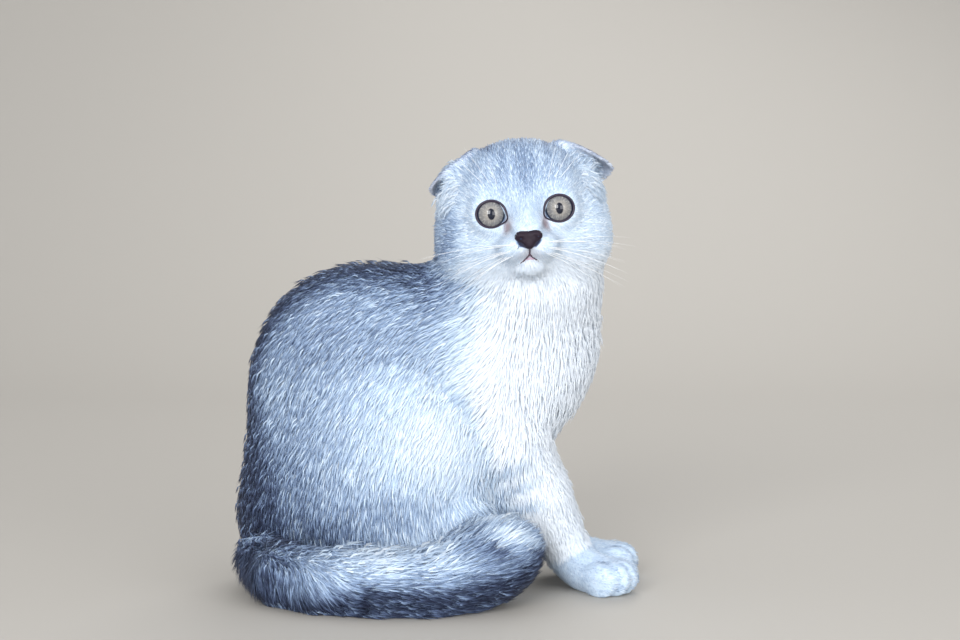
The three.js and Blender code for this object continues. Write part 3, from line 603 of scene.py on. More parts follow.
EYE_CORNER = [8.6, -34, -5.5]
warm = 0.8 * spot(folded, EYE_CORNER, [2.0, 6, 3.6])
warm += 0.35 * spot(folded, [0, -44, -19], [5, 8, 3.5])
warm += 0.25 * share[:, EAR_Z]


def keep(mesh, name, values, kind="FLOAT"):
    attribute = mesh.attributes.get(name) or mesh.attributes.new(name, kind, "POINT")
    key = "vector" if kind == "FLOAT_VECTOR" else "value"
    attribute.data.foreach_set(key, np.ascontiguousarray(values, np.float32).ravel())


under_floor = 1 - smoothstep(1.0 * MM, 5.0 * MM, points[:, 2])
under_floor = under_floor * smoothstep(0.2, 0.6, -normals[:, 2])
keep(skin_mesh, "lie", lie, "FLOAT_VECTOR")
keep(skin_mesh, "hair_depth", depth * MM)
keep(skin_mesh, "hair_length", length * MM)
keep(skin_mesh, "hair_width", width * MM)
keep(skin_mesh, "shade", shade)
keep(skin_mesh, "warm", np.clip(warm, 0, 1))

# The unwrap of the skin's own shape, from which each tuft's patch takes its place.
bpy.context.view_layer.objects.active = skin
skin.select_set(True)
bpy.ops.object.mode_set(mode="EDIT")
bpy.ops.mesh.select_all(action="SELECT")
bpy.ops.uv.smart_project(angle_limit=math.radians(66), island_margin=0.001)
bpy.ops.object.mode_set(mode="OBJECT")
skin.select_set(False)
skin_mesh.uv_layers[0].name = "OFBake"


# Hair colour: from white through silver to slate by the marking and its painted shade, darker to the
# tip, uneven from tuft to tuft, with a brown tinge at the inner corners of the eyes and pink by the
# mouth.
HAIR_STOPS = [
    (0.0, (0.82, 0.88, 0.95)),
    (0.22, (0.535, 0.66, 0.80)),
    (0.45, (0.26, 0.36, 0.53)),
    (0.7, (0.08, 0.115, 0.21)),
    (1.0, (0.014, 0.019, 0.045)),
]
BARE_TINGE = (0.22, 0.10, 0.10)


def finish_of(name, settings):
    """A new material, its node tree, and its shader with the given settings."""
    made = bpy.data.materials.new(name)
    made.use_nodes = True
    shader = made.node_tree.nodes["Principled BSDF"]
    for socket, value in settings.items():
        shader.inputs[socket].default_value = value
    return made, made.node_tree, shader


def put(tree, socket, value):
    if isinstance(value, (int, float, tuple, str)):
        socket.default_value = value
    else:
        tree.links.new(value, socket)


def node_in(tree, kind, inputs, **settings):
    """Adds one node, with its inputs as plain values or other nodes' outputs."""
    node = tree.nodes.new(kind)
    for name, value in settings.items():
        setattr(node, name, value)
    for key, value in inputs.items():
        put(tree, node.inputs[key], value)
    return node.outputs


def maths_in(tree):
    """A function that adds one sum to the tree."""
    def maths(operation, *values):
        inputs = dict(enumerate(values))
        return node_in(tree, "ShaderNodeMath", inputs, operation=operation)[0]

    return maths


def bumps(tree, shader, height, strength, distance):
    """Fine relief on a finish."""
    inputs = {"Height": height, "Strength": strength, "Distance": distance}
    relief = node_in(tree, "ShaderNodeBump", inputs)
    tree.links.new(relief["Normal"], shader.inputs["Normal"])


def mixed(tree, share, under, over):
    colours = [(*c, 1) if isinstance(c, tuple) else c for c in (under, over)]
    inputs = {0: share, 6: colours[0], 7: colours[1]}
    return node_in(tree, "ShaderNodeMix", inputs, data_type="RGBA")[2]


def coat_finish(name, on_skin):
    made, tree, shader = finish_of(name, {
        "Roughness": 0.62, "Specular IOR Level": 0.18, "Sheen Weight": 0.06,
        "Sheen Roughness": 0.5,
    })
    maths = maths_in(tree)

    def attribute(name):
        return node_in(tree, "ShaderNodeAttribute", {}, attribute_name=name)["Fac"]

    marking = attribute("shade")
    if on_skin:
        value = maths("MULTIPLY", marking, 0.75)
        place = node_in(tree, "ShaderNodeTexCoord", {})["Object"]
        grain = {"Vector": place, "Scale": 900, "Detail": 3}
        bumps(tree, shader, node_in(tree, "ShaderNodeTexNoise", grain)["Fac"], 0.5, 0.0006)
    else:
        along = attribute("along")
        strand = maths("MULTIPLY", attribute("strand"), 0.71)
        draw = maths("FRACT", maths("ADD", attribute("draw"), strand))
        draw = maths("SUBTRACT", draw, 0.5)
        tip = maths("ADD", maths("MULTIPLY", along, 0.9), 0.35)
        value = maths("MULTIPLY", marking, tip)
        room = maths("MINIMUM", marking, 0.34)
        value = maths("ADD", value, maths("MULTIPLY", draw, room))
    ramp = tree.nodes.new("ShaderNodeValToRGB")
    elements = ramp.color_ramp.elements
    elements[0].color = (*HAIR_STOPS[0][1], 1)
    elements[1].color = (*HAIR_STOPS[-1][1], 1)
    for position, colour in HAIR_STOPS[1:-1]:
        elements.new(position).color = (*colour, 1)
    tree.links.new(value, ramp.inputs["Fac"])
    colour = mixed(tree, attribute("warm"), ramp.outputs["Color"], BARE_TINGE)
    tree.links.new(colour, shader.inputs["Base Color"])
    return made


skin_mesh.materials.append(coat_finish("skin", True))
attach(skin, "root")
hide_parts(*flesh)


# The coat. One tuft is a thin closed lock that leaves the skin, bends over to lie along it, and
# parts into three tips. Its length runs along z and its height along y.
TUFT_ROOT = (0.0, -0.08, 0.7)
TUFT_BEND = (0.42, 0.66, 1.0)
TUFT_TIPS = [(-0.62, 0.86, 0.86, 0.0), (0.1, 1.12, 1.0, 0.5), (0.66, 0.72, 0.9, 1.0)]


def tuft_shape():
    bm = bmesh.new()
    patch = bm.loops.layers.uv.new("patch")
    rows = []
    for z, y, wide in (TUFT_ROOT, TUFT_BEND):
        rows.append([
            bm.verts.new((-wide / 2, y, z)),
            bm.verts.new((0, y + 0.13, z)),
            bm.verts.new((wide / 2, y, z)),
        ])
    root, bend = rows
    heart = bm.verts.new((0, TUFT_BEND[1] + 0.06, TUFT_BEND[0] + 0.04))
    tips = [bm.verts.new((x, y, z)) for x, y, z, _ in TUFT_TIPS]
    bm.faces.new(root)
    for i, tip in zip(range(3), (tips[0], tips[2], tips[1])):
        j = (i + 1) % 3
        bm.faces.new((root[j], root[i], bend[i], bend[j]))
        bm.faces.new((bend[j], bend[i], tip))
        bm.faces.new((bend[i], heart, tip))
        bm.faces.new((heart, bend[j], tip))
    bmesh.ops.triangulate(bm, faces=bm.faces)
    bmesh.ops.recalc_face_normals(bm, faces=bm.faces)
    bm.verts.index_update()
    strand = {tip.index: given[3] for tip, given in zip(tips, TUFT_TIPS)}
    for f in bm.faces:
        f.smooth = True
        for loop in f.loops:
            loop[patch].uv = (loop.vert.co.x * 0.8, loop.vert.co.z)
    mesh = mesh_from(bm, "tuft")
    keep(mesh, "along", [v.co.z for v in mesh.vertices])
    keep(mesh, "strand", [strand.get(i, 0.5) for i in range(len(mesh.vertices))])
    return mesh


tuft = piece("tuft", tuft_shape())
outline_mesh = bpy.data.meshes.new("outline")
outline_mesh.from_pydata(envelope_points, [], envelope_faces)
outline_mesh.update()
outline = piece("outline", outline_mesh)
PATCH = 0.003
COAT_INPUTS = {
    "Skin": "Geometry", "Tufts per square metre": "Float", "Sway": "Float", "Seed": "Int",
    "Tuft": "Object", "Outline": "Object", "Proud of outline": "Float", "Finish": "Material",
}
SWAY_SCALE = 130
FINE_SWAY = (0.24, 0.24, 0.24)
LEAST_HEIGHT = 0.0002


def coat_tree():
    tree = bpy.data.node_groups.new("coat", "GeometryNodeTree")
    for name, kind in COAT_INPUTS.items():
        tree.interface.new_socket(name, in_out="INPUT", socket_type="NodeSocket" + kind)
    tree.interface.new_socket("Coat", in_out="OUTPUT", socket_type="NodeSocketGeometry")
    maths = maths_in(tree)

    def node(kind, inputs, **settings):
        return node_in(tree, kind, inputs, **settings)

    def named(name, kind="FLOAT"):
        return node("GeometryNodeInputNamedAttribute", {"Name": name}, data_type=kind)["Attribute"]

    def vectors(operation, a, b):
        inputs = {0: a, ("Scale" if operation == "SCALE" else 1): b}
        made = node("ShaderNodeVectorMath", inputs, operation=operation)
        return made["Value" if operation == "DOT_PRODUCT" else "Vector"]

    def random(low, high, add):
        inputs = {2: low, 3: high, "Seed": maths("ADD", given["Seed"], add)}
        return node("FunctionNodeRandomValue", inputs, data_type="FLOAT")[1]

    def store(geometry, name, value, kind, domain="POINT"):
        inputs = {"Geometry": geometry, "Name": name, "Value": value}
        settings = {"data_type": kind, "domain": domain}
        return node("GeometryNodeStoreNamedAttribute", inputs, **settings)["Geometry"]

    given = node("NodeGroupInput", {})
    density = maths("MULTIPLY", given["Tufts per square metre"], named("cover"))
    scatter = {"Mesh": given["Skin"], "Density": density, "Seed": given["Seed"]}
    kind = "GeometryNodeDistributePointsOnFaces"
    roots = node(kind, scatter, distribute_method="RANDOM")["Points"]
    roots = store(roots, "draw", random(0.0, 1.0, 11), "FLOAT")
    roots = store(roots, "root_place", named("OFBake", "FLOAT_VECTOR"), "FLOAT_VECTOR")

    # Each tuft lies along the coat, with a sway in locks and a finer one of its own.
    place = node("GeometryNodeInputPosition", {})[0]
    locks = {"Vector": place, "Scale": SWAY_SCALE, "Detail": 1.0}
    sway = vectors("SUBTRACT", node("ShaderNodeTexNoise", locks)["Color"], (0.5, 0.5, 0.5))
    sway = vectors("SCALE", sway, given["Sway"])
    fine = {0: tuple(-most for most in FINE_SWAY), 1: FINE_SWAY, "Seed": maths("ADD", given["Seed"], 5)}
    fine = node("FunctionNodeRandomValue", fine, data_type="FLOAT_VECTOR")[0]
    way = vectors("ADD", vectors("ADD", named("lie", "FLOAT_VECTOR"), sway), fine)
    turn = {"Primary Axis": named("outward", "FLOAT_VECTOR"), "Secondary Axis": way}
    kind = "FunctionNodeAxesToRotation"
    turn = node(kind, turn, primary_axis="Y", secondary_axis="Z")["Rotation"]
    high = maths("ADD", random(0.5, 0.95, 2), maths("POWER", random(0.0, 1.0, 4), 7.0))
    size = node("ShaderNodeCombineXYZ", {
        "X": maths("MULTIPLY", named("hair_width"), random(0.7, 1.3, 1)),
        "Y": maths("MULTIPLY", named("hair_depth"), high),
        "Z": maths("MULTIPLY", named("hair_length"), random(0.7, 1.15, 3)),
    })[0]
    shape = node("GeometryNodeObjectInfo", {"Object": given["Tuft"]})["Geometry"]
    tufts = {"Points": roots, "Instance": shape, "Rotation": turn, "Scale": size}
    tufts = node("GeometryNodeInstanceOnPoints", tufts)["Instances"]
    coat = node("GeometryNodeRealizeInstances", {0: tufts})[0]
    patch = vectors("SCALE", named("patch", "FLOAT_VECTOR"), PATCH)
    patch = vectors("ADD", named("root_place", "FLOAT_VECTOR"), patch)
    coat = store(coat, "OFBake", patch, "FLOAT2", "CORNER")

    # Tips that stand too far out of the modelled outline are set back, and none is under the floor.
    outline = node("GeometryNodeObjectInfo", {"Object": given["Outline"]})["Geometry"]
    near = node("GeometryNodeProximity", {0: outline}, target_element="FACES")["Position"]
    facing = {"Mesh": outline, "Value": node("GeometryNodeInputNormal", {})[0]}
    kind = "GeometryNodeSampleNearestSurface"
    facing = node(kind, facing, data_type="FLOAT_VECTOR")["Value"]
    outside = vectors("DOT_PRODUCT", vectors("SUBTRACT", place, near), facing)
    stray = maths("MULTIPLY", maths("POWER", named("draw"), 4.0), 2.5)
    proud = maths("MULTIPLY", given["Proud of outline"], maths("ADD", stray, 0.5))
    excess = maths("MAXIMUM", maths("SUBTRACT", outside, proud), 0.0)
    back = vectors("SCALE", facing, maths("MULTIPLY", excess, -0.9))
    coat = node("GeometryNodeSetPosition", {"Geometry": coat, "Offset": back})[0]
    at = node("ShaderNodeSeparateXYZ", {0: place})
    raised = {"X": at["X"], "Y": at["Y"], "Z": maths("MAXIMUM", at["Z"], LEAST_HEIGHT)}
    raised = node("ShaderNodeCombineXYZ", raised)[0]
    coat = node("GeometryNodeSetPosition", {"Geometry": coat, "Position": raised})[0]
    coat = node("GeometryNodeSetMaterial", {"Geometry": coat, "Material": given["Finish"]})[0]
    node("NodeGroupOutput", {"Coat": coat})
    return tree


coat_nodes = coat_tree()
hair_finish = coat_finish("hair", False)


def part_of_skin(chosen):
    """The faces of the skin whose points are chosen, as a mesh of its own."""
    bm = bmesh.new()
    bm.from_mesh(skin_mesh)
    bm.verts.ensure_lookup_table()
    drop = [f for f in bm.faces if not chosen[f.verts[0].index]]
    bmesh.ops.delete(bm, geom=drop, context="FACES")
    return mesh_from(bm, "zone")


on_split = np.linalg.norm((folded - [0, NOSE_AT[1], MOUTH_APEX + 0.6]) / [1.6, 12, 3.6], axis=1)
bare = smoothstep(1.04, 1.12, from_opening(in_head(points)))
bare = bare * smoothstep(0.9, 1.1, on_nose) * smoothstep(0.8, 1.2, on_split)
keep(skin_mesh, "cover", (1 - 0.97 * under_floor) * bare)
keep(skin_mesh, "outward", normals, "FLOAT_VECTOR")


def soften_coat(mesh):
    """Shades the top of each tuft as the form under it, and its underside by its own facets."""
    outward = table_of(mesh.attributes["outward"].data, "vector")
    soft = unit(0.95 * outward + 0.2 * normals_of(mesh))
    corner = table_of(mesh.loops, "vertex_index", 1, int)[:, 0]
    facet = np.repeat(table_of(mesh.polygons, "normal"), 3, axis=0)
    under = np.sum(facet * outward[corner], axis=1) < -0.05
    shown = np.where(under[:, None], facet, soft[corner])
    mesh.normals_split_custom_set(shown.tolist())


SCRATCH = [
    "lie", "outward", "hair_depth", "hair_length", "hair_width", "root_place", "cover", "patch",
]


def grow_coat(name, chosen, tufts, seed, sway, proud):
    base = piece(name, part_of_skin(chosen))
    base.data.materials.clear()
    cover = table_of(base.data.attributes["cover"].data, "value", 1)[:, 0]
    area = sum(f.area * cover[list(f.vertices)].mean() for f in base.data.polygons)
    modifier = base.modifiers.new("coat", "NODES")
    modifier.node_group = coat_nodes
    inputs = {
        "Tufts per square metre": tufts / area,
        "Sway": sway,
        "Seed": seed,
        "Tuft": tuft,
        "Outline": outline,
        "Proud of outline": proud * MM,
        "Finish": hair_finish,
    }
    for item in coat_nodes.interface.items_tree:
        if item.in_out == "INPUT" and item.name in inputs:
            modifier[item.identifier] = inputs[item.name]
    mesh = evaluated(base)
    base.modifiers.clear()
    base.data = mesh
    soften_coat(mesh)
    for gone in SCRATCH:
        if gone in mesh.attributes:
            mesh.attributes.remove(mesh.attributes[gone])
    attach(base, "root")
    return base


most = np.argmax(share, axis=1)
on_head = most == HEAD_Z
in_front = np.linalg.norm(head - NOSE_AT, axis=1) < 46
right = own[:, 1] < 0
COATS = [
    ("coat_face", on_head & in_front, 12000, 0.25, 0.4),
    ("coat_head", on_head & ~in_front, 10500, 0.4, 0.6),
    ("coat_neck", most == NECK_Z, 9000, 0.4, 0.8),
    ("coat_back_right", (most == TORSO_Z) & right, 12300, 0.7, 1.4),
    ("coat_back_left", (most == TORSO_Z) & ~right, 10500, 0.7, 1.4),
    ("coat_forelegs", (most == ARM_Z) | (most == PAW_Z), 11500, 0.35, 0.8),
    ("coat_hind_legs", (most == THIGH_Z) | (most == FOOT_Z), 12300, 0.6, 1.1),
    ("coat_tail", most == TAIL_Z, 12000, 0.7, 2.6),
    ("coat_ears", most == EAR_Z, 4500, 0.3, 0.5),
]
for seed, (name, chosen, tufts, sway, proud) in enumerate(COATS, 1):
    grow_coat(name, chosen, tufts, seed, sway, proud)

# Long white wisps that grow in front of each ear and lie out across the cup under its fold.
WISPS_AT = [33, -13, 15]
WISPS_REACH = [5.5, 9, 8]
WISP_SIZES = {"hair_depth": 3.4, "hair_length": 8.5, "hair_width": 0.34}
WISP_SHADE = 0.2
WISP_SEED = 21
FLAP_TIP = (44, 10.8)
FLAP_RISE = 0.89
under_flap = FLAP_TIP[1] + (FLAP_TIP[0] - folded[:, 0]) * FLAP_RISE - folded[:, 2]
wisps = spot(folded, WISPS_AT, WISPS_REACH) * share[:, HEAD_Z] * smoothstep(1.5, 4.5, under_flap)
wisp_lie = to_world(np.stack([np.sign(head[:, 0]), -0.15 * level, -0.35 * level], 1))
wisp_lie = unit(wisp_lie - normals * np.sum(wisp_lie * normals, axis=1)[:, None])
keep(skin_mesh, "lie", wisp_lie, "FLOAT_VECTOR")
for name, size in WISP_SIZES.items():
    keep(skin_mesh, name, level * size * MM)
keep(skin_mesh, "shade", np.minimum(shade, WISP_SHADE))
keep(skin_mesh, "cover", wisps)
grow_coat("ear_wisps", wisps > 0.25, 1500, WISP_SEED, 0.5, 3.0)
keep(skin_mesh, "shade", shade)
bpy.data.objects.remove(tuft)
bpy.data.objects.remove(outline)

# Eyes: each a moist ball with the clear dome of the cornea, round which the iris shows grey-beige
# with a dark rim and an upright oval pupil. The white shows a little beside the nose.
CORNEA_RADIUS = 6.9
CORNEA_FORWARD = 3.1
CORNEA_BLEND = 0.8
IRIS_RADIUS = 6.5
PUPIL = (1.75, 2.7)
EYE_RINGS = 44
EYE_AROUND = 56


def eye_shape(side):
    bm = bmesh.new()
    middle = Vector((side * EYE_AT.x, EYE_AT.y, EYE_AT.z))
    rows = []
    for r in range(EYE_RINGS + 1):
        a = math.pi * (r / EYE_RINGS) ** 1.25
        dome = CORNEA_FORWARD * math.cos(a)
        inside = CORNEA_RADIUS**2 - (CORNEA_FORWARD * math.sin(a)) ** 2
        dome += math.sqrt(inside)
        h = max(CORNEA_BLEND - abs(dome - EYE_RADIUS), 0) / CORNEA_BLEND
        reach = max(dome, EYE_RADIUS) + h * h * CORNEA_BLEND / 4
        count = 1 if r in (0, EYE_RINGS) else EYE_AROUND
        row = []
        for i in range(count):
            b = 2 * math.pi * i / EYE_AROUND
            out = Vector((math.sin(a) * math.cos(b), -math.cos(a), math.sin(a) * math.sin(b)))
            row.append(bm.verts.new(middle + out * reach))
        rows.append(row)
    for low, high in zip(rows, rows[1:]):
        for i in range(EYE_AROUND):
            j = (i + 1) % EYE_AROUND
            around = [low[i % len(low)], low[j % len(low)], high[j % len(high)], high[i % len(high)]]
            bm.faces.new(list(dict.fromkeys(around)))
    bmesh.ops.recalc_face_normals(bm, faces=bm.faces)
    for f in bm.faces:
        f.smooth = True
    mesh = mesh_from(bm, "eye")
    gaze = [(v.co.x - middle.x, v.co.z - middle.z, 0) for v in mesh.vertices]
    keep(mesh, "gaze", gaze, "FLOAT_VECTOR")
    mesh.transform(HEAD)
    return mesh


IRIS_INNER = (0.25, 0.235, 0.215)
IRIS_OUTER = (0.15, 0.155, 0.165)
IRIS_FIBRES = (0.33, 0.32, 0.30)
IRIS_RIM = (0.018, 0.03, 0.06)
EYE_WHITE = (0.42, 0.55, 0.74)
EYE_CORNER_SKIN = (0.19, 0.12, 0.12)
PUPIL_BLACK = (0.002, 0.005, 0.016)


def eye_finish():
    made, tree, shader = finish_of("eye", {
        "Roughness": 0.25, "Specular IOR Level": 0.0, "Coat Weight": 1.0, "Coat Roughness": 0.03,
    })
    maths = maths_in(tree)
    gaze = node_in(tree, "ShaderNodeAttribute", {}, attribute_name="gaze")["Vector"]
    split = node_in(tree, "ShaderNodeSeparateXYZ", {0: gaze})

    def fade(value, low, high):
        inputs = {"Value": value, "From Min": low, "From Max": high}
        made = node_in(tree, "ShaderNodeMapRange", inputs, interpolation_type="SMOOTHSTEP")
        return made["Result"]

    def squares(x, z):
        return maths("ADD", maths("MULTIPLY", x, x), maths("MULTIPLY", z, z))

    x, z = split["X"], split["Y"]
    off = maths("SQRT", squares(x, z))
    around = maths("ARCTAN2", z, x)
    place = {"X": maths("MULTIPLY", around, 7.0), "Y": maths("MULTIPLY", off, 0.6)}
    place = node_in(tree, "ShaderNodeCombineXYZ", place)[0]
    fibres = node_in(tree, "ShaderNodeTexNoise", {"Vector": place, "Scale": 1.0, "Detail": 4})
    iris = mixed(tree, fade(off, 2.0, 5.8), IRIS_INNER, IRIS_OUTER)
    iris = mixed(tree, fade(fibres["Fac"], 0.4, 0.75), iris, IRIS_FIBRES)
    colour = mixed(tree, fade(off, IRIS_RADIUS - 0.95, IRIS_RADIUS - 0.35), iris, IRIS_RIM)
    colour = mixed(tree, fade(off, IRIS_RADIUS - 0.1, IRIS_RADIUS + 0.35), colour, EYE_WHITE)
    colour = mixed(tree, fade(off, 7.6, 9.0), colour, EYE_CORNER_SKIN)
    oval = squares(maths("DIVIDE", x, PUPIL[0]), maths("DIVIDE", z, PUPIL[1]))
    colour = mixed(tree, fade(oval, 1.25, 0.8), colour, PUPIL_BLACK)
    tree.links.new(colour, shader.inputs["Base Color"])
    return made


eye_material = eye_finish()
for name, side in (("eye_left", 1), ("eye_right", -1)):
    ball = piece(name + "_ball", eye_shape(side))
    ball.data.materials.append(eye_material)
    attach(ball, "root")
    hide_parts(name)


skin_tree = BVHTree.FromPolygons(
    [Vector(p) for p in head],
    [list(f.vertices) for f in skin_mesh.polygons],
)


# Bare rims of the lids: a dark moist edge all round each eye, drawn out to the tear corner.
RIM_RADIUS = 0.6
RIM_BALL = 9.6
RIM_STEPS = 72


def tube(path, radii, sides=8, closed=False):
    """A round tube along a path, with a flat cap at each end where it isn't a loop."""
    bm = bmesh.new()
    rows = []
    count = len(path)
    for i, at in enumerate(path):
        before = path[(i - 1) % count] if closed or i else path[0]
        after = path[(i + 1) % count] if closed or i < count - 1 else path[-1]
        way = (after - before).normalized()
        side = way.cross(Vector((0, 1, 0.01))).normalized()
        up = side.cross(way)
        row = []
        for k in range(sides):
            a = 2 * math.pi * k / sides
            row.append(bm.verts.new(at + (side * math.cos(a) + up * math.sin(a)) * radii[i]))
        rows.append(row)
    pairs = list(zip(rows, rows[1:])) + ([(rows[-1], rows[0])] if closed else [])
    for low, high in pairs:
        for k in range(sides):
            m = (k + 1) % sides
            bm.faces.new((low[k], low[m], high[m], high[k]))
    if not closed:
        bm.faces.new(rows[0])
        bm.faces.new(rows[-1])
    bmesh.ops.recalc_face_normals(bm, faces=bm.faces)
    for f in bm.faces:
        f.smooth = True
    return bm


def in_head_piece(tubes, name):
    """One mesh of several tubes that were laid out in the head's own frame."""
    whole = bmesh.new()
    for one in tubes:
        mesh = mesh_from(one, name)
        whole.from_mesh(mesh)
        bpy.data.meshes.remove(mesh)
    mesh = mesh_from(whole, name)
    mesh.transform(HEAD)
    return mesh


angles = np.arange(RIM_STEPS) * 2 * math.pi / RIM_STEPS
rim_radii = RIM_RADIUS * (1 - 0.4 * np.exp(-(((angles - TEAR_AT) / 0.5) ** 2)))
# The rim is thicker along the top, where it is partly painted shadow of the upper lid.
rim_radii = rim_radii * (1 + 0.14 * np.sin(angles))


def rim_path(side):
    path = []
    for a in angles:
        r = float(opening_reach(a))
        x, z = r * math.cos(a), r * math.sin(a)
        y = EYE_AT.y - math.sqrt(max(RIM_BALL**2 - x * x - z * z, 9))
        before = Vector((side * (EYE_AT.x + 1.1 * x), -80, EYE_AT.z + 1.1 * z))
        skin_at = skin_tree.ray_cast(before, Vector((0, 1, 0)))[0]
        path.append(Vector((side * (EYE_AT.x + x), min(y, skin_at.y + 0.1), EYE_AT.z + z)))
    for _ in range(3):
        after = path[1:] + path[:1]
        path = [(path[i - 1] + at * 2 + after[i]) / 4 for i, at in enumerate(path)]
    return path


def bare_finish(name, colour, other, roughness, grain, depth, coat):
    """Bare skin: two mottled colours, fine pores, and a moist film."""
    made, tree, shader = finish_of(name, {
        "Roughness": roughness, "Specular IOR Level": 0.3, "Coat Weight": coat,
        "Coat Roughness": 0.25,
    })
    place = node_in(tree, "ShaderNodeTexCoord", {})["Object"]
    mottle = node_in(tree, "ShaderNodeTexNoise", {"Vector": place, "Scale": 260})["Fac"]
    tree.links.new(mixed(tree, mottle, colour, other), shader.inputs["Base Color"])
    pores = node_in(tree, "ShaderNodeTexVoronoi", {"Vector": place, "Scale": grain})["Distance"]
    bumps(tree, shader, pores, 0.6, depth * MM)
    return made


rim_material = bare_finish("lid_rim", (0.012, 0.009, 0.022), (0.03, 0.018, 0.04), 0.4, 2500, 0.05, 0.2)
for name, side in (("lid_rim_left", 1), ("lid_rim_right", -1)):
    mesh = in_head_piece([tube(rim_path(side), rim_radii, closed=True)], name)
    mesh.materials.append(rim_material)
    rim = piece(name, mesh)
    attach(rim, "root")


# Nose: bare plum-black leather with fine bumps, the modelled one made smoother.
NOSE_VOXEL = 0.3
nose_mesh = remeshed(welded(["nose"], 0), NOSE_VOXEL)
nose_points = evened(points_of(nose_mesh), Spreader(nose_mesh), 10, FACET_STEPS, 1.0)
move_points(nose_mesh, nose_points)
nose_mesh.polygons.foreach_set("use_smooth", [True] * len(nose_mesh.polygons))
nose = piece("nose_leather", nose_mesh)
nose_finish = bare_finish("nose", (0.008, 0.004, 0.012), (0.018, 0.008, 0.018), 0.6, 1500, 0.05, 0.0)
nose_mesh.materials.append(nose_finish)
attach(nose, "root")
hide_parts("nose")


# Lips: the dark line from the nose to the parting of the lips and out towards both corners, where
# its thin ends are painted shadow of the fur, and the pink edge of the lower lip under it.
def on_face(x, z, out):
    """The point of the face at x and z in the head's frame, a little out from the skin."""
    hit = skin_tree.ray_cast(Vector((x, -80, z)), Vector((0, 1, 0)))
    return hit[0] + hit[1] * out


def mouth_point(t, side):
    bow = math.sin(math.pi * t)
    z = MOUTH_APEX + t * (MOUTH_CORNER[1] - MOUTH_APEX) - bow
    return on_face(side * t * MOUTH_CORNER[0], z, 0.25 - 0.3 * t * t)


LIP_RADIUS = 0.42
LIP_ENDS = 0.06
# The line runs nearly to the corners; its thin outer part is painted shadow of the fur.
LIP_SHOWN = 0.92
SPLIT_TOP = -15.6
SPLIT_LOW = -19.5
along_lip = np.linspace(0, 1, 17)
lip_radii = LIP_RADIUS * (1 - along_lip) ** 0.8 + LIP_ENDS
lip_tubes = [
    tube([mouth_point(LIP_SHOWN * t, side) for t in along_lip], lip_radii) for side in (1, -1)
]
split_path = [on_face(0, z, 0.2) for z in np.linspace(SPLIT_TOP, SPLIT_LOW, 9)]
lip_tubes.append(tube(split_path, [LIP_RADIUS] * len(split_path)))
lip_mesh = in_head_piece(lip_tubes, "lips")
lip_finish = bare_finish("lips", (0.03, 0.018, 0.03), (0.1, 0.06, 0.09), 0.5, 2200, 0.05, 0.2)
lip_mesh.materials.append(lip_finish)
lip_line = piece("lips", lip_mesh)
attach(lip_line, "root")

lower_path = [on_face(-3.4 + 6.8 * t / 12, -21.2 - 0.9 * abs(t - 6) / 6, 0.1) for t in range(13)]
lower_radii = [0.15 + 0.35 * math.sin(math.pi * t / 12) for t in range(13)]
lower_mesh = in_head_piece([tube(lower_path, lower_radii)], "lower_lip")
lower_finish = bare_finish("lower_lip", (0.38, 0.25, 0.34), (0.5, 0.38, 0.46), 0.5, 2200, 0.04, 0.1)
lower_mesh.materials.append(lower_finish)
lower_lip = piece("lower_lip", lower_mesh)
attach(lower_lip, "root")


# Whiskers: long white tapered hairs in three rows on each side of the muzzle, and a few over
# each eye.
WHISKER_ROOT = 0.13
WHISKER_SEED = 8
draw = np.random.default_rng(WHISKER_SEED)
whiskers = []


def whisker(root, way, reach, droop):
    along = np.linspace(0, 1, 13)
    path = [root + way * (reach * t) + Vector((0, 0, -droop * t * t)) for t in along]
    whiskers.append(tube(path, WHISKER_ROOT * (1 - 0.93 * along), 4))


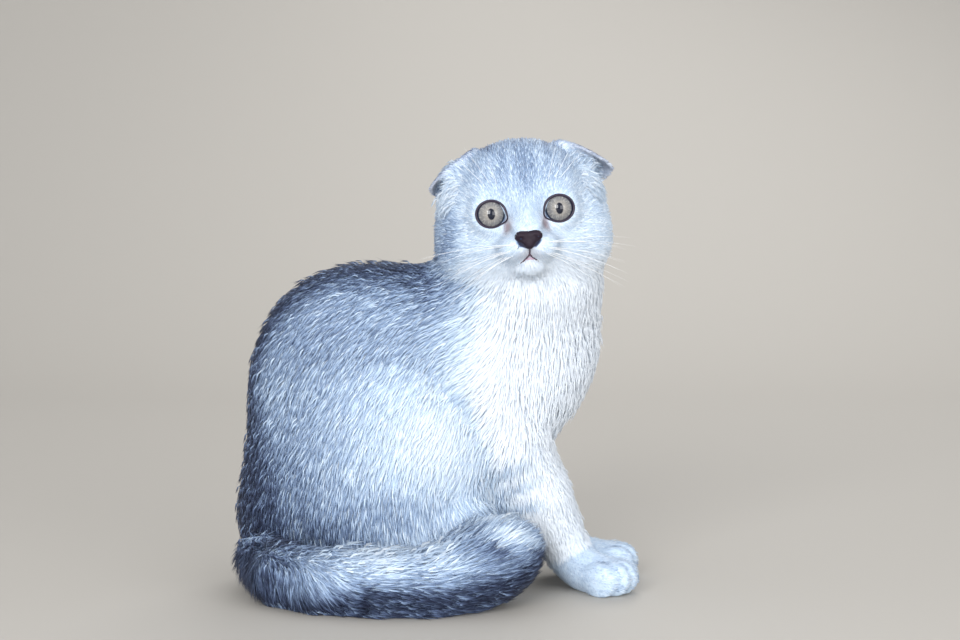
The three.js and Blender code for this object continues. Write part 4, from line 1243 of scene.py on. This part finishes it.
for side in (1, -1):
    for row in range(3):
        for i in range(4):
            x = side * (6.5 + 1.7 * i)
            root = on_face(x, -14.2 - 2.3 * row - 0.2 * i, 0)
            rise = 0.05 - 0.24 * row + draw.uniform(-0.08, 0.08)
            way = Vector((side, 0.12 + 0.16 * i + draw.uniform(-0.1, 0.1), rise)).normalized()
            whisker(root, way, draw.uniform(36, 50) - 3 * row, draw.uniform(4, 9))
    for i in range(3):
        root = on_face(side * (12 + 3 * i), 14 + 0.5 * i, 0)
        way = Vector((side * (0.25 + 0.3 * i), -0.35, 1)).normalized()
        whisker(root, way, draw.uniform(18, 26), 2)
whisker_mesh = in_head_piece(whiskers, "whiskers")
whisker_settings = {"Base Color": (0.88, 0.90, 0.92, 1), "Roughness": 0.35}
whisker_mesh.materials.append(finish_of("whisker", whisker_settings)[0])
whisker_piece = piece("whiskers", whisker_mesh)
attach(whisker_piece, "root")

# Floor and light: a plain pale floor that sweeps up behind, and the even light of large lamps.
FLOOR_REACH = 8.0
SWEEP_RADIUS = 0.9
SWEEP_HEIGHT = 3.5
SWEEP = [(-FLOOR_REACH, 0.0), (SWEEP_RADIUS, 0.0)] + [
    (SWEEP_RADIUS * (1 + math.sin(a)), SWEEP_RADIUS * (1 - math.cos(a)))
    for a in np.linspace(0.1, math.pi / 2, 14)
] + [(2 * SWEEP_RADIUS, SWEEP_HEIGHT)]
floor_mesh = bpy.data.meshes.new("floor")
floor_points = [(x, y, z) for y, z in SWEEP for x in (-FLOOR_REACH, FLOOR_REACH)]
floor_faces = [(2 * i, 2 * i + 1, 2 * i + 3, 2 * i + 2) for i in range(len(SWEEP) - 1)]
floor_mesh.from_pydata(floor_points, [], floor_faces)
floor_mesh.polygons.foreach_set("use_smooth", [True] * len(floor_faces))
floor = piece("floor", floor_mesh)
floor_settings = {"Base Color": (0.44, 0.42, 0.385, 1), "Roughness": 0.7}
floor_mesh.materials.append(finish_of("floor", floor_settings)[0])


def lamp(name, place, aim, size, watts):
    light = bpy.data.lights.new(name, "AREA")
    light.size = size
    light.energy = watts
    made = bpy.data.objects.new(name, light)
    bpy.context.scene.collection.objects.link(made)
    made.location = place
    made.rotation_euler = (Vector(aim) - Vector(place)).to_track_quat("-Z", "Y").to_euler()


AIM = (0, 0, 0.11)
lamp("key", (-0.5, -1.5, 0.6), AIM, 0.8, 22)
lamp("fill", (0.9, -1.3, 0.2), AIM, 1.2, 18)
lamp("back", (0.3, 1.3, 1.2), AIM, 1.0, 9)
world = bpy.data.worlds.new("studio")
world.use_nodes = True
world.node_tree.nodes["Background"].inputs["Color"].default_value = (0.84, 0.85, 0.88, 1)
world.node_tree.nodes["Background"].inputs["Strength"].default_value = 0.95
bpy.context.scene.world = world
bpy.context.scene.view_settings.view_transform = "Standard"
